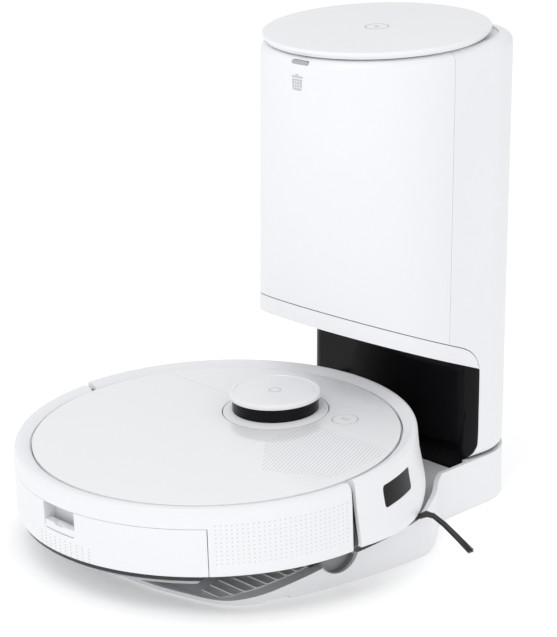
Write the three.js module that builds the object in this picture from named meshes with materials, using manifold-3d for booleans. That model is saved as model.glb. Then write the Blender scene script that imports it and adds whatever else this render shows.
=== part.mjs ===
// A robot vacuum standing nose-in on its self-emptying dock.
// Millimetres, +Z up, +Y from the robot towards the dock tower, +X to the right.
// The origin is on the floor, on the dock's middle foot strip.
import * as THREE from "three";
import { mergeVertices } from "three/addons/utils/BufferGeometryUtils.js";
import Module from "manifold-3d";

// ---- driving dimensions -------------------------------------------------
const GAP = 0.3; // clearance between pieces that touch

// dock base
const BASE_SIDE = [
  [0, -117], [43, -113.5], [64, -109.5], [95, -101], [111, -94], [123, -83], [133, -65], [140, -43],
  [146, -15], [151, 27], [153, 73], [152, 104], [147, 118], [134, 137], [118, 155], [105, 178],
]; // right-hand edge in plan, front to tower
const BASE_RIM_HEIGHTS = [
  [-118, 4], [-100, 12], [-65, 20], [-43, 21], [-22, 23], [26, 29], [50, 31.5], [74, 33.5],
  [99, 36], [112, 45.8], [293, 45.8],
]; // rim height along Y
const BASE_BOTTOM = 0.8;
const RIM_WIDTH = 8;
const RAMP_START = [-116, 3];
const RAMP_END = [-8, 23.6];
const FOOT_HEIGHT = 2.2;
const PORT_Y = [14, 56];
const PORT_HALF_WIDTH = 32;

// dock tower
const TOWER_CENTRE_Y = 191;
const TOWER_RADIUS = 102;
const TOWER_BACK = 292;
const TOWER_CORNER = 58;
const TOWER_WALL = 2.8;
const TOWER_FOOT = 46.2;
const COVER_SEAM_Y = 184;
const RECESS_SIDE_Y = 224;
const PANEL_Y = 209;
const PANEL_CORNER = 15;
const TOP_TILT = THREE.MathUtils.degToRad(3.3);
const TOP_CENTRE_Z = 421.5; // tower rim height over the tower's centre
const DOCK_LID_RADIUS = 100.8;
const DOCK_LID_BOTTOM = 423.4;
const DOCK_LID_THICKNESS = 6.6;
const DOCK_HINGE = [288, 425.2]; // Y and Z of the dock lid's pin
const BAG_DECK_Z = 236;
const REAR_HOLLOW_HALF = 74;
const INLET = { x: 25, z: 68, half: 15.6, height: 11.6 };

// robot, in its own frame: wheels stand on z = 0, front towards +Y
const ROBOT_PITCH = THREE.MathUtils.degToRad(2.68);
const ROBOT_PLACE = [0, 3.51, 24.88];
const LID_Z = 75;
const LID_RADIUS = 160;
const BODY_RADIUS = 176;
const CHASSIS_RADIUS = 166;
const UNDERSIDE = 9;
const PAN_Z = [63.8, 66.8];
const SPLIT_Y = 68; // line between the hinged lid and the fixed front deck
const LID_HINGE = [62, 72.5]; // Y and Z
const LID_LUG_X = [134, 138];
const LUG_MIDDLE = 136;
const SHELL_FRONT_Y = -8.6;
const BUMPER_BACK_Y = -3.1;
const TURRET_Y = 70;
const BUTTON_PLACE = [62.6, 94.5];
const BUTTON_RADIUS = 11.3;
const WHEEL_X = 118;
const WHEEL_RADIUS = 31;
const WHEEL_WIDTH = 22;
const ARM_PIVOT = [38, 40]; // Y and Z
const BRUSH_PLACE = [32, 19.5]; // Y and Z
const CASTER_Y = 128;
const CASTER_TRAIL = 7;
const SIDE_BRUSH_PLACE = [110, 92];
const TANK_ANGLE = THREE.MathUtils.degToRad(45.7);
const TANK_FRONT_Y = -101;
const TANK_Z = [18, 59.8];

// ---- materials ----------------------------------------------------------
const finish = (color, roughness, metalness = 0) =>
  new THREE.MeshStandardMaterial({ color, roughness, metalness });
const WHITE = finish(0xeceef1, 0.35);
const WHITE_GLOSS = finish(0xf2f3f5, 0.12);
const GREY = finish(0x8e9094, 0.6);
const DARK = finish(0x2b2c2f, 0.55);
const BLACK_GLOSS = finish(0x08080a, 0.06);
const RUBBER = finish(0x303134, 0.85);
const METAL = finish(0xc4c6c9, 0.3, 1);
const CLOTH = finish(0xb9bcc4, 0.95);
const LED = finish(0xa9adb3, 0.4);

// ---- closed solids and booleans -----------------------------------------
const wasm = await Module();
wasm.setup();

/** A manifold solid from a closed geometry, with its faces turned outwards. */
function solid(geometry) {
  const bare = new THREE.BufferGeometry();
  bare.setAttribute("position", geometry.getAttribute("position"));
  bare.setIndex(geometry.getIndex());
  const merged = mergeVertices(bare, 1e-4);
  const index = merged.getIndex().array;
  const position = merged.getAttribute("position");
  const corner = [0, 1, 2].map(() => new THREE.Vector3());
  const kept = [];
  let volume = 0;
  for (let i = 0; i < index.length; i += 3) {
    const [a, b, c] = index.slice(i, i + 3);
    if (a === b || b === c || c === a) continue;
    kept.push(a, b, c);
    [a, b, c].forEach((vertex, k) => corner[k].fromBufferAttribute(position, vertex));
    volume += corner[0].dot(corner[1].cross(corner[2]));
  }
  if (volume < 0) kept.reverse();
  const vertProperties = Float32Array.from(position.array);
  const triVerts = Uint32Array.from(kept);
  return new wasm.Manifold(new wasm.Mesh({ numProp: 3, vertProperties, triVerts }));
}

function geometryOf(manifold) {
  const mesh = manifold.getMesh();
  const geometry = new THREE.BufferGeometry();
  geometry.setAttribute("position", new THREE.BufferAttribute(mesh.vertProperties, 3));
  geometry.setIndex(new THREE.BufferAttribute(mesh.triVerts, 1));
  return geometry;
}

const join = (first, ...rest) =>
  geometryOf(rest.reduce((whole, next) => whole.add(solid(next)), solid(first)));
const cut = (first, ...tools) =>
  geometryOf(tools.reduce((whole, tool) => whole.subtract(solid(tool)), solid(first)));
const common = (first, ...rest) =>
  geometryOf(rest.reduce((whole, next) => whole.intersect(solid(next)), solid(first)));

/** The same piece for the other side: side is 1 on the right and -1 on the left. */
const onSide = (side, geometry) => (side > 0 ? geometry : geometryOf(solid(geometry.scale(-1, 1, 1))));

// ---- shape helpers ------------------------------------------------------
/** A plan outline raised from z = low to z = high. */
function prism(outline, low, high) {
  const shape = outline instanceof THREE.Shape ? outline : outlineShape(outline);
  const geometry = new THREE.ExtrudeGeometry(shape, { depth: high - low, bevelEnabled: false });
  return geometry.translate(0, 0, low);
}

const outlineShape = (points) => new THREE.Shape(points.map(([x, y]) => new THREE.Vector2(x, y)));

/** A side outline of Y and Z points, drawn out along X from x = low to x = high. */
function sideways(outline, low, high) {
  const geometry = new THREE.ExtrudeGeometry(outlineShape(outline), { depth: high - low, bevelEnabled: false });
  geometry.rotateX(Math.PI / 2);
  geometry.rotateZ(Math.PI / 2);
  return geometry.translate(low, 0, 0);
}

/** A box given by its low and high corners. */
function block(low, high) {
  const size = low.map((value, i) => high[i] - value);
  const middle = low.map((value, i) => (high[i] + value) / 2);
  return new THREE.BoxGeometry(...size).translate(...middle);
}

/** A closed profile of radius and height points turned about +Z. */
function turned(profile, segments = 48) {
  const points = profile.map(([radius, height]) => new THREE.Vector2(radius, height));
  if (profile[0][0] > 0 || profile.at(-1)[0] > 0) points.push(points[0].clone());
  return new THREE.LatheGeometry(points, segments).rotateX(Math.PI / 2);
}

/** A disc and a ring about +Z. */
const disc = (radius, low, high, segments = 32) =>
  turned([[0, low], [radius, low], [radius, high], [0, high]], segments);
const ring = (inner, outer, low, high, segments = 48) =>
  turned([[inner, low], [outer, low], [outer, high], [inner, high]], segments);

/** A round bar along +X. */
const bar = (radius, low, high, y, z, segments = 16) =>
  disc(radius, low, high, segments).rotateY(Math.PI / 2).translate(0, y, z);

/** A plan wedge about the origin, between two angles in radians from +X. */
function wedge(from, to, radius, low, high) {
  const steps = 8;
  const arc = Array.from({ length: steps + 1 }, (_, i) => {
    const angle = from + ((to - from) * i) / steps;
    return [radius * Math.cos(angle), radius * Math.sin(angle)];
  });
  return prism([[0, 0], ...arc], low, high);
}

const mirrored = (points) => [...points, ...points.map(([x, y]) => [-x, y]).reverse()];

/** The same outline moved inwards, for outlines that run anticlockwise. */
function inset(points, distance) {
  return points.map((point, i) => {
    const before = points.at(i - 1);
    const after = points[(i + 1) % points.length];
    const along = new THREE.Vector2(after[0] - before[0], after[1] - before[1]).normalize();
    return [point[0] - along.y * distance, point[1] + along.x * distance];
  });
}

/** Straight line height through two points of Y and Z. */
const heightAt = (y, [y0, z0], slope) => z0 + slope * (y - y0);

// ---- the dock's shared outlines -----------------------------------------
const towerCorner = (radius, corner, back, steps = 10) =>
  Array.from({ length: steps + 1 }, (_, i) => {
    const angle = (i / steps) * (Math.PI / 2);
    return [radius - corner + corner * Math.cos(angle), back - corner + corner * Math.sin(angle)];
  });

/** Tower plan: round front, straight sides, rounded back corners. */
function towerOutline(offset = 0) {
  const radius = TOWER_RADIUS - offset;
  const front = Array.from({ length: 15 }, (_, i) => {
    const angle = -Math.PI / 2 + ((i + 0.5) / 15) * (Math.PI / 2);
    return [radius * Math.cos(angle), TOWER_CENTRE_Y + radius * Math.sin(angle)];
  });
  const right = [...front, ...towerCorner(radius, TOWER_CORNER - offset, TOWER_BACK - offset)];
  return mirrored(right);
}

function baseOutline() {
  const tower = towerCorner(TOWER_RADIUS + 0.5, TOWER_CORNER, TOWER_BACK);
  return mirrored([...BASE_SIDE.slice(1), ...tower]).concat([BASE_SIDE[0]]);
}

const SKIRT_SLOPE = -0.373;
const CEILING = [223, 131];
const SEAM = [[88, 197.2], [184, 161.4], [204, 153.9], [216, 145.3], [221, 139], [223.6, 131]];
const seamRaised = (rise) => SEAM.map(([y, z]) => [y, z + rise]);
const ROBOT_SLOPE = Math.tan(ROBOT_PITCH);
const floorUnderRobot = (y) => heightAt(y, [ROBOT_PLACE[1], ROBOT_PLACE[2] - 0.6], ROBOT_SLOPE);

/** Everything above the tower's tilted rim, raised by an amount. */
function aboveRim(rise, half = 160) {
  const rim = (y) => heightAt(y, [TOWER_CENTRE_Y, TOP_CENTRE_Z + rise], Math.tan(TOP_TILT));
  return sideways([[60, rim(60)], [320, rim(320)], [320, 520], [60, 520]], -half, half);
}

const inRobotFrame = (geometry) => geometry.rotateX(ROBOT_PITCH).translate(...ROBOT_PLACE);

// ---- dock base ----------------------------------------------------------
function dockBase() {
  const outline = baseOutline();
  const rim = sideways([[-118, 0], [293, 0], ...[...BASE_RIM_HEIGHTS].reverse()], -160, 160);
  const body = common(prism(outline, BASE_BOTTOM, 60), rim);
  const floor = [
    [-140, 1.2], RAMP_START, RAMP_END, [0, floorUnderRobot(0)], [PANEL_Y + 3, floorUnderRobot(PANEL_Y + 3)],
    [PANEL_Y + 3, 80], [-140, 80],
  ];
  const trough = common(prism(inset(outline, RIM_WIDTH), 0, 80), sideways(floor, -150, 150));
  const mouth = common(block([-96, -130, 0], [96, -90, 80]), sideways(floor, -150, 150));
  const dish = inRobotFrame(turned([[0, -0.3], [150, -0.3], [172, 6], [177.5, 9], [181, 17], [183, 27],
    [183, 80], [0, 80]], 72));
  const dishFront = common(dish, block([-200, 0, 0], [200, PANEL_Y, 100]));
  const pockets = [-1, 1].map((side) => bar(36, -18.5, 18.5, 5, 48.5, 40).translate(side * WHEEL_X, 0, 0));
  const notches = [-1, 1].map((side) => bar(21, -9, 9, 4.5, 33, 24).translate(side * 150, 0, 0));
  const port = block([-PORT_HALF_WIDTH, PORT_Y[0], -1], [PORT_HALF_WIDTH, PORT_Y[1], 40]);
  const rearHollow = block([-REAR_HOLLOW_HALF, 10, 0], [REAR_HOLLOW_HALF, 278, 20.4]);
  const frontHollow = block([-88, -72, 0], [88, -10, 7]);
  const riser = block([-30, 240, 0], [30, 278, 60]);
  const underLip = [-1, 1].map((side) =>
    block([side * 141 - 14, -65, 0], [side * 141 + 14, -43, 3.2]));
  const feet = footPlaces().map(([y, half, depth]) =>
    block([-half - GAP, y - depth - GAP, 0], [half + GAP, y + depth + GAP, FOOT_HEIGHT + GAP]));
  const pins = [-1, 1].map((side) => contactPost(side, 0.35));
  return cut(body, trough, mouth, dishFront, ...pockets, ...notches, port, rearHollow, frontHollow, riser,
    ...underLip, ...feet, ...pins, treadPad(-1, GAP), treadPad(1, GAP));
}

/** Rubber strips under the base: Y, half length and half depth. */
const footPlaces = () => [[-84, 62, 6], [0, 60, 6], [284, 50, 4.5]];

function footStrip([y, half, depth]) {
  return block([-half, y - depth, 0], [half, y + depth, FOOT_HEIGHT]);
}

/** Grey ribbed pad let into the ramp on one side. */
function treadPad(side, grow = 0) {
  const slope = (RAMP_END[1] - RAMP_START[1]) / (RAMP_END[0] - RAMP_START[0]);
  const ramp = (y) => heightAt(y, RAMP_START, slope);
  const [front, back] = [-98 - grow, -16 + grow];
  const pitch = 10.2;
  const top = [];
  for (let y = front + 4; y < back - 5 && !grow; y += pitch) {
    top.push([y, ramp(y)], [y + 1, ramp(y) + 1.1], [y + 3, ramp(y) + 1.1], [y + 4, ramp(y)]);
  }
  const outline = [[front, ramp(front) - 1.5 - grow], [back, ramp(back) - 1.5 - grow],
    [back, ramp(back) + grow * 8], ...top.reverse(), [front, ramp(front) + grow * 8]];
  const plan = [[94 - grow, -98 - grow], [106 + grow, -94 - grow], [118 + grow, -80], [127 + grow, -60],
    [134 + grow, -36], [137 + grow, -16 + grow], [94 - grow, -16 + grow]];
  const pad = common(sideways(outline, 90, 145), prism(plan, 0, 40));
  return onSide(side, pad);
}

/** Charging contact standing on the base under the robot's nose. */
function contactPost(side, grow = 0) {
  const post = block([-5 - grow, 141 - grow, -4 - grow], [5 + grow, 157 + grow, 7.9]);
  return inRobotFrame(post.translate(side * 28, 0, 0));
}

function portSeal() {
  const [front, back] = PORT_Y.map((y) => y - ROBOT_PLACE[1]);
  const half = PORT_HALF_WIDTH - GAP;
  const outer = block([-half, front + 0.9, -5.6], [half, back - 0.9, -0.1]);
  const inner = block([4 - half, front + 4.5, -10], [half - 4, back - 4.5, 10]);
  return inRobotFrame(cut(outer, inner));
}

/** Flat duct under the base that turns up the back of the tower. */
function dustDuct() {
  const wall = 1.6;
  const flat = block([-27, 12, 3], [27, 276, 19.6]);
  const rise = block([-27, 246, 3], [27, 276, BAG_DECK_Z - GAP]);
  const flatBore = block([-27 + wall, 12 + wall, 3 + wall], [27 - wall, 276 - wall, 19.6 - wall]);
  const riseBore = block([-27 + wall, 246 + wall, 3 + wall], [27 - wall, 276 - wall, 300]);
  const mouth = block([-24, PORT_Y[0] + 4, 10], [24, PORT_Y[1] - 4, 30]);
  return cut(join(flat, rise), flatBore, riseBore, mouth);
}

// ---- dock tower ---------------------------------------------------------
const tube = (low, high) =>
  cut(prism(towerOutline(), low, high), prism(towerOutline(TOWER_WALL), low - 1, high + 1));

/** A ledge round the inside of the tower that closes its rim. */
function rimLedge() {
  const outer = common(prism(towerOutline(0.5), 380, 440), aboveRim(-5));
  const mouth = disc(92, 300, 460, 48).translate(0, TOWER_CENTRE_Y, 0);
  return cut(outer, aboveRim(-2), mouth);
}

function hingeBarrels(places, radius, hole) {
  return places.map(([low, high]) => cut(
    join(bar(radius, low, high, ...DOCK_HINGE), block([low, DOCK_HINGE[0] - 2.6, DOCK_HINGE[1] - 8],
      [high, DOCK_HINGE[0] + 2.6, DOCK_HINGE[1]])),
    bar(hole, low - 1, high + 1, ...DOCK_HINGE)));
}

/** The block that holds the power inlet, grown by an amount. */
function inletBlock(grow, front, back) {
  return block([INLET.x - INLET.half - grow, front, INLET.z - INLET.height - grow],
    [INLET.x + INLET.half + grow, back, INLET.z + INLET.height + grow]);
}

function towerShell() {
  const edge = RECESS_SIDE_Y + 0.4;
  const seam = seamRaised(0.4).slice(2, 5).map(([y, z]) => [y + 0.4, z]);
  const side = [[COVER_SEAM_Y + GAP, 161.8], ...seam, [edge, 131], [edge, 64], [222.5, 57], [218, 51],
    [211, TOWER_FOOT], [300, TOWER_FOOT], [300, 470], [COVER_SEAM_Y + GAP, 470]];
  const behind = sideways(side, -160, 160);
  const walls = common(join(tube(TOWER_FOOT, 450), rimLedge()), behind);
  const notch = block([-32, 283, 419], [32, 300, 460]);
  const socket = inletBlock(0.4, 280, 300);
  const body = cut(walls, aboveRim(0), notch, socket);
  return join(body, ...hingeBarrels([[-19, -14], [14, 19]], 2.7, 1.5));
}

function towerFrontCover() {
  const seam = seamRaised(0.5).slice(0, 2);
  const side = [...seam, [COVER_SEAM_Y, 161.9], [COVER_SEAM_Y, 470], [60, 470], [60, 207]];
  return cut(common(join(tube(120, 450), rimLedge()), sideways(side, -160, 160)), aboveRim(0), statusBar(GAP));
}

/** The inclined belly over the docking bay. */
function towerSkirt() {
  const ceiling = (y, rise = 0) => heightAt(y, CEILING, SKIRT_SLOPE) + rise;
  const back = CEILING[0] + 0.6;
  const side = [[85, ceiling(85)], [back, ceiling(back)], ...seamRaised(0).slice(0, 5).reverse(), [85, 198.3]];
  const filled = common(prism(towerOutline(), 100, 230), sideways(side, -160, 160));
  const above = sideways([[60, ceiling(60, 3)], [back - 3, ceiling(back - 3, 3)], [back - 3, 260], [60, 260]],
    -160, 160);
  return cut(filled, common(prism(towerOutline(TOWER_WALL), 100, 260), above));
}

/** Black panel across the back of the docking bay, its ends turned back. */
function recessPanel() {
  const half = TOWER_RADIUS - 0.2;
  const wrap = (offset) => {
    const corner = PANEL_CORNER - offset;
    const arc = Array.from({ length: 7 }, (_, i) => {
      const angle = -Math.PI / 2 + (i / 6) * (Math.PI / 2);
      return [half - PANEL_CORNER + corner * Math.cos(angle),
        PANEL_Y + PANEL_CORNER + corner * Math.sin(angle)];
    });
    return mirrored(arc);
  };
  const thickness = 2.4;
  const whole = cut(prism(wrap(0), 34.8, 137), prism(wrap(thickness), 0, 200),
    block([-half + thickness, PANEL_Y + PANEL_CORNER - 0.5, 0], [half - thickness, 300, 200]));
  const ceiling = (y) => heightAt(y, CEILING, SKIRT_SLOPE) - 0.4;
  const above = sideways([[180, ceiling(180)], [240, ceiling(240)], [240, 300], [180, 300]], -160, 160);
  const lowBack = block([-160, PANEL_Y + thickness + 0.3, 0], [160, 260, TOWER_FOOT + 0.2]);
  const lowSides = [-1, 1].map((side) =>
    block([side * 110 - 16, 180, 0], [side * 110 + 16, 260, TOWER_FOOT + 0.4]));
  const edges = [-1, 1].map((side) =>
    block([side * 110 - 11.6, 209.5, 0], [side * 110 + 11.6, 260, 66]));
  return cut(whole, above, lowBack, ...lowSides, ...edges);
}

function bagDeck() {
  const plate = prism(towerOutline(TOWER_WALL + 0.4), BAG_DECK_Z, BAG_DECK_Z + 3);
  return cut(plate, block([-20, 250, 0], [20, 272, 300]), disc(24, 200, 260).translate(0, 180, 0));
}

/** Paper bag, standing on the deck over the duct. */
function dustBag() {
  const [low, high] = [BAG_DECK_Z + 6, 392];
  const soft = (half, from, to) => [[-half, from + 14], [14 - half, from], [half - 14, from],
    [half, from + 14], [half, to - 14], [half - 14, to], [14 - half, to], [-half, to - 14]];
  return join(prism(soft(62, 124, 262), low, high), prism(soft(54, 132, 254), low - 2, high + 6));
}

const bagCollar = () => cut(block([-40, 240, BAG_DECK_Z + 3.3], [40, 280, BAG_DECK_Z + 3.9]),
  block([-17, 252, 0], [17, 270, 300]));

function dockFan() {
  const place = [0, 180];
  const body = join(disc(46, 176, 214, 32), disc(38, 214, 231, 32), disc(20, 231, 235.5, 24));
  return cut(body, disc(14, 200, 240, 16)).translate(place[0], place[1], 0);
}

/** Indicator bar let into the front cover near its top. */
function statusBar(grow = 0) {
  return block([-0.5 - grow, 86, 411 - grow], [17.5 + grow, 96, 414.5 + grow]);
}

function statusLight() {
  const skin = cut(disc(TOWER_RADIUS - 0.4, 400, 420, 60), disc(TOWER_RADIUS - TOWER_WALL, 390, 430, 60));
  return common(skin.translate(0, TOWER_CENTRE_Y, 0), statusBar(0));
}

/** Two-pole socket in the tower's back. */
function powerInlet() {
  const slot = block([INLET.x - 11, 284, INLET.z - 6], [INLET.x + 11, 292, INLET.z + 6]);
  const poles = [-4.5, 4.5].map((x) =>
    bar(1.2, -4, 4, 0, 0, 8).rotateZ(Math.PI / 2).translate(INLET.x + x, 286.5, INLET.z));
  return join(cut(inletBlock(0, 281, 290.4), slot), ...poles);
}

const dockHingePin = () => bar(1.2, -20, 20, ...DOCK_HINGE, 12);

function dockLid() {
  const [edge, top] = [DOCK_LID_RADIUS, DOCK_LID_THICKNESS];
  const plate = turned([[0, 3.2], [edge - 1.6, 3.2], [edge, 3.6], [edge, top - 0.6],
    [edge - 0.6, top], [0, top]], 56);
  const under = disc(edge - 2.2, 0, 3.4, 56);
  const lid = cut(join(plate, under), disc(88, -1, 1.6, 40));
  const placed = lid.rotateX(TOP_TILT).translate(0, TOWER_CENTRE_Y, DOCK_LID_BOTTOM);
  const barrel = cut(join(bar(2.7, -13, 13, ...DOCK_HINGE),
    block([-13, DOCK_HINGE[0] - 2.4, DOCK_HINGE[1]], [13, DOCK_HINGE[0] + 2.4, DOCK_HINGE[1] + 6])),
  bar(1.5, -14, 14, ...DOCK_HINGE));
  const rear = block([-32, DOCK_HINGE[0] - 4, 410], [32, 300, DOCK_HINGE[1] + 3.3]);
  return join(cut(placed, rear), barrel);
}

// ---- robot --------------------------------------------------------------
function chassis() {
  const tub = turned([[0, UNDERSIDE], [158, UNDERSIDE], [CHASSIS_RADIUS, UNDERSIDE + 7], [CHASSIS_RADIUS, 62],
    [163.2, 62], [163.2, UNDERSIDE + 8], [157, UNDERSIDE + 3], [0, UNDERSIDE + 3]], 56);
  const [brushY, brushZ] = BRUSH_PLACE;
  const chamber = cut(block([-91, brushY - 24, UNDERSIDE], [91, brushY + 24, 42]),
    block([-88.6, brushY - 21.6, 0], [88.6, brushY + 21.6, 39.6]));
  const inlet = block([-52, brushY - 30, 24], [52, brushY - 10, 38]);
  const brushAxle = bar(3.3, -95, 95, brushY, brushZ, 12);
  const wells = [-1, 1].map((side) => block([side * 113 - 22, -44, 0], [side * 113 + 22, 50, 30]));
  const walls = [-1, 1].map((side) => block([side * 93.5 - 1.2, 4, UNDERSIDE], [side * 93.5 + 1.2, 50, 30]));
  const tank = block([-180, -200, 0], [180, TANK_FRONT_Y + 4, 80]);
  const tankWall = common(disc(160, UNDERSIDE, 62),
    block([-150, TANK_FRONT_Y + 1, 0], [150, TANK_FRONT_Y + 4, 80]));
  const caster = disc(24.5, 0, 31).translate(0, CASTER_Y, 0);
  const sideHoles = [-1, 1].map((side) => disc(6, 0, 20, 16).translate(side * SIDE_BRUSH_PLACE[0],
    SIDE_BRUSH_PLACE[1], 0));
  const contacts = [-1, 1].map((side) => block([side * 28 - 8, 138, 0], [side * 28 + 8, 160, UNDERSIDE + 1.6]));
  const casterCup = cut(disc(26.5, UNDERSIDE, 34).translate(0, CASTER_Y, 0), caster);
  const gapBlocks = [-1, 1].map((side) => block([side * 167 - 6, SHELL_FRONT_Y + 0.4, 22],
    [side * 167 + 6, SHELL_FRONT_Y + 3.2, 42]));
  const shell = join(cut(tub, block([-90, brushY - 23, 0], [90, brushY + 23, 20]), tank, caster), chamber,
    ...walls, tankWall, casterCup);
  return join(cut(shell, ...wells, inlet, brushAxle, ...sideHoles, ...contacts), ...gapBlocks);
}

/** Fixed deck, lid bay and the rear half of the outer wall. */
function upperShell() {
  const [panLow, panHigh] = PAN_Z;
  const pan = disc(LID_RADIUS + 1, panLow, panHigh, 72);
  const deck = common(disc(LID_RADIUS, panLow, LID_Z, 72), block([-200, SPLIT_Y + 0.6, 0], [200, 200, 100]));
  const rim = turned([[160.8, panLow], [162, panLow - 1], [170.5, 62.2], [173.4, 58], [173.4, 18],
    [BODY_RADIUS, 18], [BODY_RADIUS, 62], [175, 66], [172, 70.4], [167, 73.2], [161.2, 74.6],
    [160.8, 74.6]], 72);
  const behindBumper = block([-200, -200, 0], [200, SHELL_FRONT_Y, 100]);
  const rearWall = common(rim, behindBumper);
  const rimLink = common(ring(159, 163, panLow, panHigh, 72), behindBumper);
  const opening = block([-64, -88, 0], [64, 4, 100]);
  const spindle = disc(33, 0, 100, 32).translate(0, TURRET_Y, 0);
  const collarSeat = disc(47.6, 72.4, 100, 48).translate(0, TURRET_Y, 0);
  const button = disc(BUTTON_RADIUS + 0.5, 0, 100, 32).translate(...BUTTON_PLACE, 0);
  const tank = tankSolid(GAP, 10);
  const underTank = block([-140, -200, 0], [140, TANK_FRONT_Y - 6, TANK_Z[0] + 1]);
  const shell = cut(join(pan, deck, rearWall, rimLink), opening, spindle, collarSeat, button, tank, underTank);
  return join(shell, lidLug(-1), lidLug(1));
}

/** Lug on the pan that carries one end of the lid. */
function lidLug(side) {
  const [y, z] = LID_HINGE;
  const lug = join(bar(1.5, ...LID_LUG_X, y, z, 12), block([LID_LUG_X[0], y - 1.4, PAN_Z[1] - 1], [LID_LUG_X[1],
    y + 1.4, z]));
  return onSide(side, cut(lug, bar(1.1, 120, 150, y, z, 12)));
}

function topLid() {
  const plate = common(disc(LID_RADIUS - 0.4, 71.5, LID_Z, 96),
    block([-200, -200, 0], [200, SPLIT_Y - 0.6, 100]));
  const turret = disc(48, 0, 100, 48).translate(0, TURRET_Y, 0);
  const [y, z] = LID_HINGE;
  const lugPockets = [-1, 1].map((side) =>
    block([side * LUG_MIDDLE - 2.6, y - 5, 70], [side * LUG_MIDDLE + 2.6, SPLIT_Y, z + 1.65]));
  const pinHoles = [-1, 1].map((side) => bar(1.1, -9, 9, y, z, 12).translate(side * LUG_MIDDLE, 0, 0));
  return cut(plate, turret, ...lugPockets, ...pinHoles);
}

const lidPin = (side) => bar(0.8, -8.5, 8.5, ...LID_HINGE, 12).translate(side * LUG_MIDDLE, 0, 0);

/** The bumper's outer wall, from its shoulder lip down to its rounded hem. */
function bumper() {
  const wall = turned([[162.4, 71.7], [168.4, 69], [170.4, 66], [172.4, 55], [174.9, 38], [176.9, 27],
    [176, 17], [173.4, 10.5], [174.7, UNDERSIDE], [177.6, 11.4], [179.4, 17], [180.2, 27], [178.2, 38], [175.6, 55],
    [173.8, 68], [171, 71.6], [167, 73.6], [162.4, 74.4]], 72);
  const front = block([-200, BUMPER_BACK_Y, 0], [200, 200, 100]);
  const hem = sideways([[-20, 0], [130, 0], [116, 9], [-3.5, 21.8], [-20, 23]], -200, 200);
  return cut(common(wall, front), hem, windowBlock(1, GAP), windowBlock(-1, GAP));
}

/** The block that bounds a side sensor window. */
function windowBlock(side, grow = 0) {
  const middle = side > 0 ? 17.9 : 162.1;
  const half = 7.8 + grow / 3;
  const [from, to] = [middle - half, middle + half].map(THREE.MathUtils.degToRad);
  return cut(wedge(from, to, 200, 43.6 - grow, 63 + grow), disc(150, 0, 100));
}

function sensorWindow(side) {
  const pane = turned([[173.2, 63], [175.4, 43.6], [177.2, 43.6], [174.2, 63]], 72);
  return common(pane, windowBlock(side));
}

function turretCollar() {
  const profile = [[33.4, 72.7], [46.8, 72.7], [46.8, 75.2], [43, 75.8], [40, 76.9], [33.4, 76.9]];
  return turned(profile, 48).translate(0, TURRET_Y, 0);
}

const turretWindow = () => ring(36.2, 38.6, 77.2, 89.2, 48).translate(0, TURRET_Y, 0);

const turretCap = () =>
  turned([[0, 90.9], [36, 90.9], [36, 89.5], [41, 89.5], [41, 91], [38.6, 93.7], [0, 93.7]], 48)
    .translate(0, TURRET_Y, 0);

/** Spinning distance sensor: a drum with a lens window in its side. */
function lidarRotor() {
  const drum = join(disc(31, 77.2, 88.6, 32), disc(22, 58, 77.4, 24));
  const lenses = [-9, 9].map((x) => bar(5, -6, 6, 0, 0, 16).rotateZ(Math.PI / 2).translate(x, -30, 83));
  return cut(drum, ...lenses).translate(0, TURRET_Y, 0);
}

const powerButton = () => turned([[0, 72.2], [BUTTON_RADIUS, 72.2], [BUTTON_RADIUS, 75],
  [BUTTON_RADIUS - 0.5, 75.4], [0, 75.4]], 32).translate(...BUTTON_PLACE, 0);

/** Dust bin under the lid, open where the brush throws the dirt in. */
function dustBin() {
  const walls = cut(block([-60, -84, 20], [60, 1, 62.6]), block([-58, -82, 22], [58, -1, 60.6]));
  const mouth = block([-50, -4, 24.5], [50, 4, 37.5]);
  const outlet = block([-62, -70, 30], [-56, -20, 52]);
  const grip = block([-20, -60, 58], [20, -36, 70]);
  return cut(walls, mouth, outlet, grip);
}

function binFilter() {
  const pleats = Array.from({ length: 9 }, (_, i) =>
    block([-66.5, -68 + i * 5.2, 32], [-64.5, -65.4 + i * 5.2, 50]));
  return join(block([-64.7, -71, 29], [-60.4, -19, 53]), ...pleats);
}

function blower() {
  const volute = join(disc(21, 16, 46, 32), block([0, -21, 22], [24, -5, 40]));
  return cut(volute, disc(9, 40, 60, 16)).translate(-97, -72, 0);
}

const batteryPack = () => block([-62, 62, 14], [62, 100, 36]);

function mainBoard() {
  const chips = [[-52, 108, 12, 10], [-20, 118, 8, 8], [24, 112, 14, 9]];
  return join(block([-74, 62, 44], [74, 134, 45.6]),
    ...chips.map(([x, y, w, d]) => block([x, y, 45], [x + w, y + d, 47.6])));
}

function brushGuard() {
  const [y] = BRUSH_PLACE;
  return cut(block([-96, y - 28, 5.6], [96, y + 28, UNDERSIDE - GAP]),
    block([-87, y - 20.4, 0], [87, y + 20.4, 20]));
}

/** Roller brush with six ribs. */
function brushRoller() {
  const count = 6;
  const star = Array.from({ length: count * 4 }, (_, i) => {
    const rib = Math.floor(i / 4);
    const angle = ((rib + [0, 0.12, 0.2, 0.5][i % 4]) / count) * 2 * Math.PI;
    const radius = [17.3, 17.3, 11, 11][i % 4];
    return [radius * Math.cos(angle), radius * Math.sin(angle)];
  });
  const roller = prism(star, -84, 84).rotateY(Math.PI / 2);
  return join(roller, bar(2.9, -90.5, 90.5, 0, 0, 12)).translate(0, ...BRUSH_PLACE);
}

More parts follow.
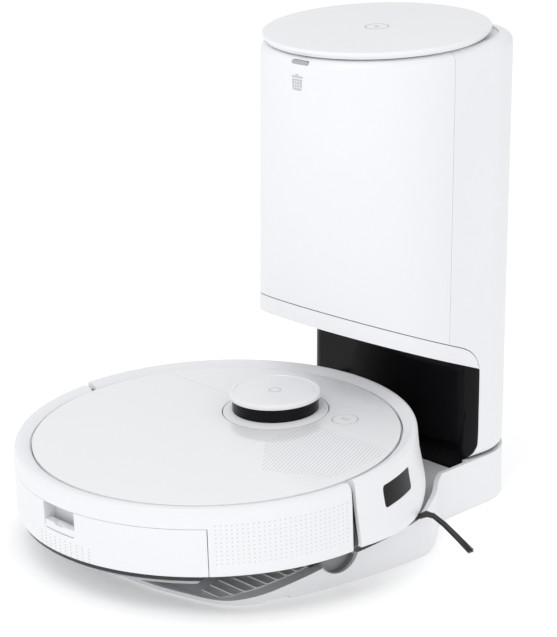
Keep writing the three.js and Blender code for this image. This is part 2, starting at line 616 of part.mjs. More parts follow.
function wheelArm(side) {
  const [pivotY, pivotZ] = ARM_PIVOT;
  const arm = join(
    bar(6, 95, 104, pivotY, pivotZ, 20),
    sideways([[pivotY, pivotZ + 5], [pivotY, pivotZ - 6], [0, WHEEL_RADIUS - 9], [-10, WHEEL_RADIUS - 4],
      [-10, WHEEL_RADIUS + 6], [-2, WHEEL_RADIUS + 10]], 96, 104),
    bar(3, 103, 122, 0, WHEEL_RADIUS, 16));
  const drilled = cut(arm, bar(2.2, 90, 110, pivotY, pivotZ, 12));
  return onSide(side, drilled);
}

/** Tyre with a blocky tread. */
function driveTyre(side) {
  const count = 24;
  const tread = Array.from({ length: count * 2 }, (_, i) => {
    const angle = (i / (count * 2)) * 2 * Math.PI + Math.PI / (count * 2);
    const radius = WHEEL_RADIUS - (Math.floor(i / 2) % 2) * 2;
    return [radius * Math.cos(angle), radius * Math.sin(angle)];
  });
  const tyre = cut(prism(tread, -WHEEL_WIDTH / 2, WHEEL_WIDTH / 2), disc(24.6, -20, 20, 32));
  return tyre.rotateY(Math.PI / 2).translate(side * WHEEL_X, 0, WHEEL_RADIUS);
}

function wheelHub(side) {
  const rim = turned([[0, 5.4], [8, 5.4], [8, -3], [21, -3], [21, -10], [24.2, -10], [24.2, 10],
    [21.5, 10], [19, 8], [0, 8]], 32);
  const hub = cut(rim, disc(3.3, -30, 6, 16));
  return hub.rotateY(side * Math.PI / 2).translate(side * WHEEL_X, 0, WHEEL_RADIUS);
}

function casterFork() {
  const body = join(disc(21, 11, 15.5, 32).translate(0, CASTER_Y, 0),
    ...[-1, 1].map((side) => block([side * 10.2 - 2, CASTER_Y - 15, 11], [side * 10.2 + 2, CASTER_Y + 4, 27])),
    block([-12.2, CASTER_Y - 15, 27], [12.2, CASTER_Y + 8, 30.4]));
  const slot = block([-8.2, CASTER_Y - 23, 0], [8.2, CASTER_Y + 10, 27]);
  return cut(body, slot, bar(1.9, -9.4, 9.4, CASTER_Y - CASTER_TRAIL, 12.8, 12));
}

const casterWheel = () => join(bar(12.6, -7.6, 7.6, CASTER_Y - CASTER_TRAIL, 12.8, 28),
  bar(1.5, -9.2, 9.2, CASTER_Y - CASTER_TRAIL, 12.8, 12));

/** Side brush hub with three short stems. */
function sideBrush(side) {
  const hub = join(disc(13, 4.2, 7.6, 24), disc(5.6, 7.4, 18, 16), ...[0, 1, 2].map((arm) =>
    block([8, -3, 4.2], [26, 3, 7.4]).rotateZ((arm * 2 * Math.PI) / 3 + 0.1)));
  return onSide(side, hub).translate(side * SIDE_BRUSH_PLACE[0], SIDE_BRUSH_PLACE[1], 0);
}

/** Flexible bristle tuft that lies out over the dock's rim. */
function sideBristles(side) {
  const route = [[137, 90.5, 7.9], [148, 91, 7.9], [156, 93, 9.5], [166, 97, 9.5], [180, 100, 3],
    [206, 103, -9.5]];
  const half = [2.2, 2.4, 2.6, 2.8, 3.4, 4.4];
  const rings = route.map(([x, y, z], i) => [[x, y - half[i], z - 1], [x, y + half[i], z - 1],
    [x, y + half[i], z + 1], [x, y - half[i], z + 1]]);
  const position = rings.flat(2);
  const index = [];
  for (let i = 0; i + 1 < rings.length; i += 1) {
    for (let k = 0; k < 4; k += 1) {
      const [a, b, c, d] = [i * 4 + k, i * 4 + ((k + 1) % 4), (i + 1) * 4 + ((k + 1) % 4), (i + 1) * 4 + k];
      index.push(a, b, c, a, c, d);
    }
  }
  const last = (rings.length - 1) * 4;
  index.push(0, 2, 1, 0, 3, 2, last, last + 1, last + 2, last, last + 2, last + 3);
  const tuft = new THREE.BufferGeometry();
  tuft.setAttribute("position", new THREE.Float32BufferAttribute(position, 3));
  tuft.setIndex(index);
  return onSide(side, geometryOf(solid(tuft)));
}

/** Outer form of the water tank, grown all round by one amount and outwards by another. */
function tankSolid(grow = 0, outwards = grow) {
  const [low, high] = [TANK_Z[0] - grow, TANK_Z[1] + grow];
  const round = disc(BODY_RADIUS + outwards, low, high, 72);
  const reach = 260;
  const spread = Math.tan(TANK_ANGLE) * reach + grow * 1.4;
  const narrow = Math.tan(TANK_ANGLE) * -TANK_FRONT_Y + grow * 1.4;
  const plan = prism([[-narrow, TANK_FRONT_Y + grow], [-spread, -reach], [spread, -reach],
    [narrow, TANK_FRONT_Y + grow]], low - 1, high + 1);
  return common(round, plan);
}

function waterTank() {
  const hollow = common(tankSolid(-2.4), block([-96, -158, 0], [96, 0, 100]));
  const filler = disc(9, 50, 80, 20).translate(58, -128, 0);
  const grip = block([-20, -200, 37], [20, -162, 70]);
  return cut(tankSolid(), hollow, filler, grip);
}

/** Sprung latch bar at the foot of the tank's grip. */
function tankRelease() {
  const outer = disc(BODY_RADIUS - 0.6, 37.4, 43.6, 96);
  return common(outer, block([-19.4, -190, 0], [19.4, -165.2, 80]));
}

const mopOutline = (radius, front, side) => {
  const shape = Array.from({ length: 25 }, (_, i) => {
    const angle = -Math.PI / 2 + ((i / 24) * 2 - 1) * side;
    return [radius * Math.cos(angle), radius * Math.sin(angle)];
  });
  return [...shape, [shape.at(-1)[0] - 6, front], [shape[0][0] + 6, front]];
};

const mopPlate = () => prism(mopOutline(173.4, TANK_FRONT_Y - 3, 0.76), 6.2, TANK_Z[0] - GAP);
const mopPad = () => prism(mopOutline(168, TANK_FRONT_Y - 6, 0.74), 0.8, 5.8);

// ---- assembly -----------------------------------------------------------
const object = new THREE.Group();
const robot = new THREE.Group();
robot.position.set(...ROBOT_PLACE);
robot.rotation.x = ROBOT_PITCH;

function add(group, name, geometry, material) {
  const mesh = new THREE.Mesh(geometry, material);
  mesh.name = name;
  group.add(mesh);
}

const SIDES = [["left", -1], ["right", 1]];

add(object, "dock_base", dockBase(), WHITE);
SIDES.forEach(([word, side]) => add(object, `ramp_tread_${word}`, treadPad(side), GREY));
footPlaces().forEach((place, i) =>
  add(object, `foot_strip_${["front", "middle", "rear"][i]}`, footStrip(place), RUBBER));
SIDES.forEach(([word, side]) => add(object, `dock_contact_${word}`, contactPost(side), METAL));
add(object, "port_seal", portSeal(), RUBBER);
add(object, "dust_duct", dustDuct(), DARK);
add(object, "tower_shell", towerShell(), WHITE);
add(object, "tower_front_cover", towerFrontCover(), WHITE);
add(object, "tower_skirt", towerSkirt(), WHITE);
add(object, "recess_panel", recessPanel(), BLACK_GLOSS);
add(object, "bag_deck", bagDeck(), GREY);
add(object, "bag_collar", bagCollar(), GREY);
add(object, "dust_bag", dustBag(), CLOTH);
add(object, "dock_fan", dockFan(), DARK);
add(object, "status_light", statusLight(), LED);
add(object, "power_inlet", powerInlet(), DARK);
add(object, "dock_hinge_pin", dockHingePin(), METAL);
add(object, "dock_lid", dockLid(), WHITE);

add(robot, "chassis", chassis(), DARK);
add(robot, "upper_shell", upperShell(), WHITE);
add(robot, "top_lid", topLid(), WHITE_GLOSS);
add(robot, "bumper", bumper(), WHITE);
add(robot, "turret_collar", turretCollar(), WHITE);
add(robot, "turret_window", turretWindow(), BLACK_GLOSS);
add(robot, "turret_cap", turretCap(), WHITE_GLOSS);
add(robot, "lidar_rotor", lidarRotor(), DARK);
add(robot, "power_button", powerButton(), WHITE_GLOSS);
add(robot, "dust_bin", dustBin(), GREY);
add(robot, "bin_filter", binFilter(), CLOTH);
add(robot, "blower", blower(), DARK);
add(robot, "battery_pack", batteryPack(), DARK);
add(robot, "main_board", mainBoard(), GREY);
add(robot, "brush_guard", brushGuard(), DARK);
add(robot, "brush_roller", brushRoller(), RUBBER);
add(robot, "caster_fork", casterFork(), GREY);
add(robot, "caster_wheel", casterWheel(), RUBBER);
add(robot, "water_tank", waterTank(), WHITE);
add(robot, "tank_release", tankRelease(), WHITE);
add(robot, "mop_plate", mopPlate(), DARK);
add(robot, "mop_pad", mopPad(), CLOTH);
SIDES.forEach(([word, side]) => {
  add(robot, `lid_pin_${word}`, lidPin(side), METAL);
  add(robot, `sensor_window_${word}`, sensorWindow(side), BLACK_GLOSS);
  add(robot, `wheel_arm_${word}`, wheelArm(side), GREY);
  add(robot, `drive_tyre_${word}`, driveTyre(side), RUBBER);
  add(robot, `wheel_hub_${word}`, wheelHub(side), GREY);
  add(robot, `side_brush_${word}`, sideBrush(side), RUBBER);
  add(robot, `side_bristles_${word}`, sideBristles(side), RUBBER);
});
object.add(robot);

export default object;
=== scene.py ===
"""A robot vacuum parked on its self-emptying dock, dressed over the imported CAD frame.

Lengths in this file are millimetres until Workshop turns them into metres.
The robot is modelled level in its own frame and then tilted onto the dock's ramp.
"""

from __future__ import annotations

import logging
import math
from dataclasses import dataclass
from enum import Enum
from typing import Callable, Iterable, Sequence

import bpy
from mathutils import Matrix, Vector


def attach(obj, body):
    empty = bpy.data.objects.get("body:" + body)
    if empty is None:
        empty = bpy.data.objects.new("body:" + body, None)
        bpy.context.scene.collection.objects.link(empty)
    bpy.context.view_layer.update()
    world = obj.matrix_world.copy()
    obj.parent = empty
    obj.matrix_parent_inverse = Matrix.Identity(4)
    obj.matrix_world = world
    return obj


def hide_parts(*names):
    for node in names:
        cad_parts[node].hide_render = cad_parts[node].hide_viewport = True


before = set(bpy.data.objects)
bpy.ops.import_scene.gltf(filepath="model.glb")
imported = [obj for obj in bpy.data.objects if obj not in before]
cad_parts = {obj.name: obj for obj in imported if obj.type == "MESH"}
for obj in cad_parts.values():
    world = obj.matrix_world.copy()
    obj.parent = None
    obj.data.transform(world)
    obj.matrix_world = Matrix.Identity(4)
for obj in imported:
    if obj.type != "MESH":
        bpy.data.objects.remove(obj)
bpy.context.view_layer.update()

log = logging.getLogger("scene")

MM = 0.001
Pair = tuple[float, float]
Triple = tuple[float, float, float]
Corner = Triple
Colour = Triple

ROBOT_PITCH = math.radians(2.68)
ROBOT_PLACE: Triple = (0.0, 3.51, 24.88)
FINE = 192  # steps round a large circle
MEDIUM = 96
COARSE = 40
SIDES = ((1, "right"), (-1, "left"))


# ---- plane geometry -------------------------------------------------------------------
def rounded(corners: Sequence[Corner], steps: int = 6, closed: bool = True) -> list[Pair]:
    """Replaces each corner of an outline by an arc.

    Args:
        corners: u, v and corner radius of each corner, in order.
        steps: segments in each arc.
        closed: whether the last corner joins the first.

    Returns:
        The outline's points.
    """
    points: list[Pair] = []
    count = len(corners)
    for i, (u, v, radius) in enumerate(corners):
        end = not closed and i in (0, count - 1)
        if radius <= 0 or end:
            points.append((u, v))
            continue
        here = Vector((u, v))
        back = (Vector(corners[i - 1][:2]) - here).normalized()
        ahead = (Vector(corners[(i + 1) % count][:2]) - here).normalized()
        half = back.angle(ahead) / 2
        centre = here + (back + ahead).normalized() * (radius / math.sin(half))
        reach = radius / math.tan(half)
        first, last = here + back * reach - centre, here + ahead * reach - centre
        sweep = first.angle_signed(last)
        for k in range(steps + 1):
            turn = first.copy()
            turn.rotate(Matrix.Rotation(-sweep * k / steps, 2))
            points.append(tuple(centre + turn))
    return points


def arc(centre: Pair, radius: float, start: float, end: float, steps: int) -> list[Pair]:
    """Points along a circle between two angles in degrees.

    Args:
        centre: the circle's centre.
        radius: its radius.
        start: first angle from +u.
        end: last angle.
        steps: segments between them.

    Returns:
        The points, both ends included.
    """
    turns = (math.radians(start + (end - start) * i / steps) for i in range(steps + 1))
    return [(centre[0] + radius * math.cos(t), centre[1] + radius * math.sin(t)) for t in turns]


def flowing(points: Sequence[Pair], steps: int = 4) -> list[Pair]:
    """A smooth curve through points.

    Args:
        points: the points it passes through.
        steps: segments between each two of them.

    Returns:
        Points along the curve, both ends included.
    """
    ends = [points[0], *points, points[-1]]
    made: list[Pair] = []
    for p0, p1, p2, p3 in zip(ends, ends[1:], ends[2:], ends[3:]):
        for k in range(steps):
            t = k / steps
            made.append(tuple(
                0.5 * (2 * b + (c - a) * t + (2 * a - 5 * b + 4 * c - d) * t * t
                       + (3 * b - a - 3 * c + d) * t ** 3)
                for a, b, c, d in zip(p0, p1, p2, p3)))
    return [*made, points[-1]]


def mirrored(points: Sequence[Pair]) -> list[Pair]:
    """Adds the left half of an outline given by its right half.

    Args:
        points: the right half, in order.

    Returns:
        The whole outline.
    """
    return [*points, *[(-u, v) for u, v in reversed(points) if u > 0]]


def line_height(y: float, through: Pair, slope: float) -> float:
    """Height at y of a line through a point.

    Args:
        y: where the height is wanted.
        through: a point of Y and Z on the line.
        slope: rise per unit of Y.

    Returns:
        The height.
    """
    return through[1] + slope * (y - through[0])


# ---- modelling ------------------------------------------------------------------------
class Axis(Enum):
    """The direction an outline is drawn out along."""

    X = "x"
    Y = "y"
    Z = "z"

    def place(self, u: float, v: float, w: float) -> Vector:
        """Puts an outline point in space.

        Args:
            u: first outline coordinate.
            v: second outline coordinate.
            w: distance along the axis.

        Returns:
            The point in metres.
        """
        order = {"x": (w, u, v), "y": (u, w, v), "z": (u, v, w)}[self.value]
        return Vector(order) * MM


class Cut(Enum):
    """How a solid is changed by another."""

    TAKE = "DIFFERENCE"
    SHARE = "INTERSECT"


class Workshop:
    """Models solids with Blender's own operators."""

    @staticmethod
    def pick(obj: bpy.types.Object, *others: bpy.types.Object) -> None:
        """Selects objects and makes the first active.

        Args:
            obj: the object to make active.
            others: further objects to select.
        """
        bpy.ops.object.select_all(action="DESELECT")
        for each in (obj, *others):
            each.select_set(True)
        bpy.context.view_layer.objects.active = obj

    @staticmethod
    def _begin(name: str, point: Vector) -> bpy.types.Object:
        """Starts an object as one selected vertex in edit mode.

        Args:
            name: the object's name.
            point: the vertex's place in metres.

        Returns:
            The object.
        """
        bpy.ops.object.select_all(action="DESELECT")
        bpy.ops.mesh.primitive_plane_add(size=MM, location=(0, 0, 0))
        obj = bpy.context.object
        obj.name = name
        obj.data.name = name
        bpy.ops.object.mode_set(mode="EDIT")
        bpy.ops.mesh.merge(type="CENTER")
        bpy.ops.transform.translate(value=point)
        return obj

    @staticmethod
    def _follow(points: Sequence[Vector]) -> None:
        """Extrudes the selected vertex along points.

        Args:
            points: the places in metres, the selected vertex's own first.
        """
        for before, after in zip(points, points[1:]):
            bpy.ops.mesh.extrude_vertices_move(TRANSFORM_OT_translate={"value": after - before})

    @staticmethod
    def _tidy() -> None:
        """Merges doubled vertices, turns faces outwards and leaves edit mode."""
        bpy.ops.mesh.select_all(action="SELECT")
        bpy.ops.mesh.remove_doubles(threshold=2e-6)
        bpy.ops.mesh.normals_make_consistent(inside=False)
        bpy.ops.object.mode_set(mode="OBJECT")

    @classmethod
    def prism(cls, name: str, outline: Sequence[Pair], low: float, high: float,
              axis: Axis = Axis.Z) -> bpy.types.Object:
        """Draws an outline out into a solid.

        Args:
            name: the object's name.
            outline: its outline.
            low: where it starts along the axis.
            high: where it ends.
            axis: the direction it is drawn out along.

        Returns:
            The solid.
        """
        points = [axis.place(u, v, low) for u, v in outline]
        obj = cls._begin(name, points[0])
        cls._follow(points)
        bpy.ops.mesh.select_all(action="SELECT")
        bpy.ops.mesh.edge_face_add()
        bpy.ops.mesh.extrude_region_move(TRANSFORM_OT_translate={"value": axis.place(0, 0, high - low)})
        cls._tidy()
        return obj

    @classmethod
    def turned(cls, name: str, profile: Sequence[Pair], centre: Pair = (0, 0),
               steps: int = MEDIUM) -> bpy.types.Object:
        """Spins a profile of radius and height about a vertical axis.

        Args:
            name: the object's name.
            profile: radius and height of each point.
            centre: X and Y of the axis.
            steps: segments round the circle.

        Returns:
            The solid.
        """
        solid_core = profile[0][0] == 0 and profile[-1][0] == 0
        whole = list(profile) if solid_core else [*profile, profile[0]]
        points = [Vector((radius, 0, height)) * MM for radius, height in whole]
        obj = cls._begin(name, points[0])
        cls._follow(points)
        bpy.ops.mesh.select_all(action="SELECT")
        bpy.ops.mesh.remove_doubles(threshold=2e-6)
        bpy.ops.mesh.spin(steps=steps, angle=2 * math.pi, center=(0, 0, 0), axis=(0, 0, 1))
        cls._tidy()
        return cls.moved(obj, (*centre, 0))

    @classmethod
    def block(cls, name: str, low: Triple, high: Triple) -> bpy.types.Object:
        """A box between two corners.

        Args:
            name: the object's name.
            low: its lowest corner.
            high: its highest corner.

        Returns:
            The box.
        """
        middle = [(a + b) / 2 * MM for a, b in zip(low, high)]
        bpy.ops.object.select_all(action="DESELECT")
        bpy.ops.mesh.primitive_cube_add(size=1, location=middle,
                                        scale=[(b - a) * MM for a, b in zip(low, high)])
        obj = bpy.context.object
        obj.name = name
        cls.settle(obj)
        return obj

    @classmethod
    def rod(cls, name: str, radius: float, start: Triple, end: Triple,
            sides: int = COARSE) -> bpy.types.Object:
        """A round bar between two points.

        Args:
            name: the object's name.
            radius: its radius.
            start: centre of one end.
            end: centre of the other.
            sides: segments round it.

        Returns:
            The bar.
        """
        first, last = Vector(start) * MM, Vector(end) * MM
        along = last - first
        bpy.ops.object.select_all(action="DESELECT")
        bpy.ops.mesh.primitive_cylinder_add(vertices=sides, radius=radius * MM, depth=along.length,
                                            location=(first + last) / 2,
                                            rotation=along.to_track_quat("Z", "Y").to_euler())
        obj = bpy.context.object
        obj.name = name
        cls.settle(obj)
        return obj

    @classmethod
    def sweep(cls, name: str, route: Sequence[Triple], radii: Sequence[float],
              sides: int = 12) -> bpy.types.Object:
        """A round limb of changing thickness along a route.

        Args:
            name: the object's name.
            route: points it passes through.
            radii: its radius at each point.
            sides: segments round it.

        Returns:
            The limb.
        """
        places = [Vector(point) * MM for point in route]
        bpy.ops.object.select_all(action="DESELECT")
        bpy.ops.mesh.primitive_circle_add(vertices=sides, radius=radii[0] * MM, fill_type="NGON",
                                          location=places[0],
                                          rotation=(places[1] - places[0]).to_track_quat("Z", "Y").to_euler())
        obj = bpy.context.object
        obj.name = name
        cls.settle(obj)
        bpy.ops.object.mode_set(mode="EDIT")
        bpy.ops.mesh.select_all(action="SELECT")
        heading = (places[1] - places[0]).normalized()
        for i in range(1, len(places)):
            ahead = (places[min(i + 1, len(places) - 1)] - places[i - 1]).normalized()
            bpy.ops.mesh.extrude_region_move(TRANSFORM_OT_translate={"value": places[i] - places[i - 1]})
            swing = heading.rotation_difference(ahead)
            axis, angle = swing.to_axis_angle()
            if angle > 1e-5:
                turn = axis.to_track_quat("Z", "Y").to_matrix()
                bpy.ops.transform.rotate(value=-angle, orient_axis="Z", orient_type="GLOBAL",
                                         orient_matrix=turn, orient_matrix_type="GLOBAL",
                                         center_override=places[i])
            grow = radii[i] / radii[i - 1]
            bpy.ops.transform.resize(value=(grow, grow, grow), center_override=places[i])
            heading = ahead
        cls._tidy()
        return obj

    @staticmethod
    def settle(obj: bpy.types.Object) -> None:
        """Puts an object's place, turn and size into its mesh.

        Args:
            obj: the object.
        """
        Workshop.pick(obj)
        bpy.ops.object.transform_apply(location=True, rotation=True, scale=True)

    @classmethod
    def moved(cls, obj: bpy.types.Object, by: Triple) -> bpy.types.Object:
        """Moves an object and settles it.

        Args:
            obj: the object.
            by: how far.

        Returns:
            The same object.
        """
        obj.location = Vector(by) * MM
        cls.settle(obj)
        return obj

    @classmethod
    def turned_about(cls, obj: bpy.types.Object, axis: str, angle: float,
                     about: Triple = (0, 0, 0)) -> bpy.types.Object:
        """Turns an object about a line and settles it.

        Args:
            obj: the object.
            axis: X, Y or Z.
            angle: degrees.
            about: a point on the line.

        Returns:
            The same object.
        """
        pivot = Matrix.Translation(Vector(about) * MM)
        obj.matrix_world = pivot @ Matrix.Rotation(math.radians(angle), 4, axis) @ pivot.inverted()
        cls.settle(obj)
        return obj

    @classmethod
    def flipped(cls, obj: bpy.types.Object) -> bpy.types.Object:
        """Mirrors an object to the other side and turns its faces out again.

        Args:
            obj: the object.

        Returns:
            The same object.
        """
        obj.scale.x = -1
        cls.settle(obj)
        bpy.ops.object.mode_set(mode="EDIT")
        cls._tidy()
        return obj

    @classmethod
    def copy(cls, obj: bpy.types.Object, name: str) -> bpy.types.Object:
        """Copies an object with its own mesh.

        Args:
            obj: the object to copy.
            name: the copy's name.

        Returns:
            The copy.
        """
        cls.pick(obj)
        bpy.ops.object.duplicate(linked=False)
        twin = bpy.context.object
        twin.name = name
        return twin

    @classmethod
    def combine(cls, obj: bpy.types.Object, tool: bpy.types.Object, how: Cut = Cut.TAKE,
                keep: bool = False) -> bpy.types.Object:
        """Cuts a solid by another, or keeps what they share.

        Args:
            obj: the solid that changes.
            tool: the other solid.
            how: what is done.
            keep: whether the tool is kept.

        Returns:
            The changed solid.
        """
        modifier = obj.modifiers.new(how.value, "BOOLEAN")
        modifier.operation = how.value
        modifier.object = tool
        modifier.solver = "EXACT"
        cls.pick(obj)
        bpy.ops.object.modifier_apply(modifier=modifier.name)
        if not keep:
            bpy.data.objects.remove(tool)
        return obj

    @classmethod
    def gather(cls, obj: bpy.types.Object, others: Iterable[bpy.types.Object]) -> bpy.types.Object:
        """Puts separate solids into one object.

        Args:
            obj: the object that takes them in.
            others: the objects taken in.

        Returns:
            The object.
        """
        cls.pick(obj, *others)
        bpy.ops.object.join()
        return obj

    @classmethod
    def bevel(cls, obj: bpy.types.Object, width: float, segments: int = 3,
              angle: float = 38) -> bpy.types.Object:
        """Rounds an object's sharp edges.

        Args:
            obj: the object.
            width: the rounding's width.
            segments: its segments.
            angle: edges sharper than this many degrees are rounded.

        Returns:
            The same object.
        """
        modifier = obj.modifiers.new("bevel", "BEVEL")
        modifier.width = width * MM
        modifier.segments = segments
        modifier.limit_method = "ANGLE"
        modifier.angle_limit = math.radians(angle)
        modifier.use_clamp_overlap = True
        cls.pick(obj)
        bpy.ops.object.modifier_apply(modifier=modifier.name)
        return obj

    @classmethod
    def ringed(cls, obj: bpy.types.Object, count: int, step: float, centre: Triple = (0, 0, 0),
               axis: str = "Z") -> bpy.types.Object:
        """Repeats an object round a line.

        Args:
            obj: the object.
            count: how many there are in the end.
            step: degrees between them.
            centre: a point on the line.
            axis: the line's direction.

        Returns:
            The object with all copies in it.
        """
        bpy.ops.object.empty_add(location=(0, 0, 0))
        guide = bpy.context.object
        pivot = Matrix.Translation(Vector(centre) * MM)
        guide.matrix_world = pivot @ Matrix.Rotation(math.radians(step), 4, axis) @ pivot.inverted()
        bpy.context.view_layer.update()
        modifier = obj.modifiers.new("round", "ARRAY")
        modifier.count = count
        modifier.use_relative_offset = False
        modifier.use_object_offset = True
        modifier.offset_object = guide
        cls.pick(obj)
        bpy.ops.object.modifier_apply(modifier=modifier.name)
        bpy.data.objects.remove(guide)
        return obj

    @classmethod
    def rowed(cls, obj: bpy.types.Object, count: int, step: Triple) -> bpy.types.Object:
        """Repeats an object in a row.

        Args:
            obj: the object.
            count: how many there are in the end.
            step: from one to the next.

        Returns:
            The object with all copies in it.
        """
        modifier = obj.modifiers.new("row", "ARRAY")
        modifier.count = count
        modifier.use_relative_offset = False
        modifier.use_constant_offset = True
        modifier.constant_offset_displace = Vector(step) * MM
        cls.pick(obj)
        bpy.ops.object.modifier_apply(modifier=modifier.name)
        return obj

    @classmethod
    def smooth(cls, obj: bpy.types.Object, angle: float = 32) -> bpy.types.Object:
        """Shades an object smooth except at sharp edges.

        Args:
            obj: the object.
            angle: edges sharper than this many degrees stay sharp.

        Returns:
            The same object.
        """
        cls.pick(obj)
        bpy.ops.object.shade_smooth_by_angle(angle=math.radians(angle))
        modifier = obj.modifiers.new("normals", "WEIGHTED_NORMAL")
        modifier.keep_sharp = True
        modifier.weight = 100
        bpy.ops.object.modifier_apply(modifier=modifier.name)
        return obj

    @classmethod
    def tilted(cls, obj: bpy.types.Object) -> bpy.types.Object:
        """Moves a piece from the robot's level frame onto the ramp.

        Args:
            obj: the piece.

        Returns:
            The same piece.
        """
        obj.matrix_world = Matrix.Translation(Vector(ROBOT_PLACE) * MM) @ Matrix.Rotation(ROBOT_PITCH, 4, "X")
        cls.settle(obj)
        return obj


# ---- finishes -------------------------------------------------------------------------
class Pattern(Enum):
    """The fine structure of a surface."""

    MOULD = "mould"
    LINES = "lines"
    SPUN = "spun"
    WEAVE = "weave"
    PAPER = "paper"
    FUR = "fur"


class Shading:
    """Builds the shared shader groups.

    Attributes:
        groups: the groups made, by name.
    """

    groups: dict[str, bpy.types.NodeTree] = {}

    @classmethod
    def _group(cls, name: str, inputs: Sequence[tuple[str, float]],
               outputs: Sequence[str]) -> bpy.types.NodeTree:
        """Starts a shader group with a vector input and number sockets.

        Args:
            name: the group's name.
            inputs: name and default of each number it takes.
            outputs: name of each number it gives.

        Returns:
            The group's tree.
        """
        tree = bpy.data.node_groups.new(name, "ShaderNodeTree")
        tree.interface.new_socket("Place", in_out="INPUT", socket_type="NodeSocketVector")
        for label, value in inputs:
            tree.interface.new_socket(label, in_out="INPUT",
                                      socket_type="NodeSocketFloat").default_value = value
        for label in outputs:
            tree.interface.new_socket(label, in_out="OUTPUT", socket_type="NodeSocketFloat")
        cls.groups[name] = tree
        return tree

    @staticmethod
    def _noise(tree: bpy.types.NodeTree, place: bpy.types.NodeSocket, scale: float, detail: float = 3,
               roughness: float = 0.55) -> bpy.types.Node:
        """Adds a noise texture.

        Args:
            tree: the tree it is added to.
            place: the coordinates it reads.
            scale: its scale.
            detail: its detail.
            roughness: its roughness.

        Returns:
            The node.
        """
        node = tree.nodes.new("ShaderNodeTexNoise")
        node.inputs["Scale"].default_value = scale
        node.inputs["Detail"].default_value = detail
        node.inputs["Roughness"].default_value = roughness
        tree.links.new(place, node.inputs["Vector"])
        return node

    @staticmethod
    def _maths(tree: bpy.types.NodeTree, operation: str, first: bpy.types.NodeSocket,
               second: bpy.types.NodeSocket | float, clamp: bool = False) -> bpy.types.NodeSocket:
        """Adds a sum, product or other operation on two numbers.

        Args:
            tree: the tree it is added to.
            operation: Blender's name for it.
            first: the first number's socket.
            second: the second number, or its socket.
            clamp: whether the result is kept between 0 and 1.

        Returns:
            The result's socket.
        """
        node = tree.nodes.new("ShaderNodeMath")
        node.operation = operation
        node.use_clamp = clamp
        tree.links.new(first, node.inputs[0])
        if isinstance(second, (int, float)):
            node.inputs[1].default_value = second
        else:
            tree.links.new(second, node.inputs[1])
        return node.outputs[0]

    @classmethod
    def _finish_group(cls, tree: bpy.types.NodeTree, **results: bpy.types.NodeSocket) -> None:
        """Links a group's results to its outputs.

        Args:
            tree: the group's tree.
            results: socket for each output.
        """
        out = tree.nodes.new("NodeGroupOutput")
        for label, socket in results.items():
            tree.links.new(socket, out.inputs[label])

    @classmethod
    def build_groups(cls) -> None:
        """Makes every shared group once."""
        for pattern, build in ((Pattern.MOULD, cls._mould), (Pattern.LINES, cls._lines),
                               (Pattern.SPUN, cls._spun),
                               (Pattern.WEAVE, cls._weave), (Pattern.PAPER, cls._paper),
                               (Pattern.FUR, cls._fur)):
            tree = cls._group(pattern.value, [("Scale", 1.0)], ["Shade", "Height"])
            source = tree.nodes.new("NodeGroupInput")
            scaled = tree.nodes.new("ShaderNodeVectorMath")
            scaled.operation = "SCALE"
            tree.links.new(source.outputs["Place"], scaled.inputs[0])
            tree.links.new(source.outputs["Scale"], scaled.inputs["Scale"])
            build(tree, scaled.outputs[0])
            log.info("shader group %s", pattern.value)
        cls._wear_and_highlight_group()
        cls._dust()

    @classmethod
    def _mould(cls, tree: bpy.types.NodeTree, place: bpy.types.NodeSocket) -> None:
        """Moulded plastic: broad cloudiness and very fine grain.

        Args:
            tree: the group's tree.
            place: scaled coordinates.
        """
        broad = cls._noise(tree, place, 9, 2)
        fine = cls._noise(tree, place, 1400, 2)
        cls._finish_group(tree, Shade=broad.outputs["Fac"], Height=fine.outputs["Fac"])

    @classmethod
    def _bands(cls, tree: bpy.types.NodeTree, place: bpy.types.NodeSocket, scale: float, kind: str = "BANDS",
               direction: str = "X") -> bpy.types.NodeSocket:
        """Adds a wave texture.

        Args:
            tree: the tree it is added to.
            place: its coordinates.
            scale: its scale.
            kind: BANDS or RINGS.
            direction: the direction it runs in.

        Returns:
            Its value.
        """
        node = tree.nodes.new("ShaderNodeTexWave")
        node.wave_type = kind
        if kind == "BANDS":
            node.bands_direction = direction
        else:
            node.rings_direction = direction
        node.wave_profile = "SIN"
        node.inputs["Scale"].default_value = scale
        node.inputs["Distortion"].default_value = 0.0
        tree.links.new(place, node.inputs["Vector"])
        return node.outputs["Fac"]

    @classmethod
    def _lines(cls, tree: bpy.types.NodeTree, place: bpy.types.NodeSocket) -> None:
        """Fine parallel grooves across a panel.

        Args:
            tree: the group's tree.
            place: scaled coordinates.
        """
        turn = tree.nodes.new("ShaderNodeVectorRotate")
        turn.rotation_type = "Z_AXIS"
        turn.inputs["Angle"].default_value = math.radians(-24)
        tree.links.new(place, turn.inputs["Vector"])
        wave = cls._bands(tree, turn.outputs[0], 100)
        sharp = cls._maths(tree, "POWER", wave, 2.2)
        cls._finish_group(tree, Shade=sharp, Height=sharp)

    @classmethod
    def _spun(cls, tree: bpy.types.NodeTree, place: bpy.types.NodeSocket) -> None:
        """Rings left by turning.

        Args:
            tree: the group's tree.
            place: scaled coordinates.
        """
        rings = cls._bands(tree, place, 520, "RINGS", "Z")
        broad = cls._noise(tree, place, 14, 2)
        cls._finish_group(tree, Shade=broad.outputs["Fac"], Height=rings)

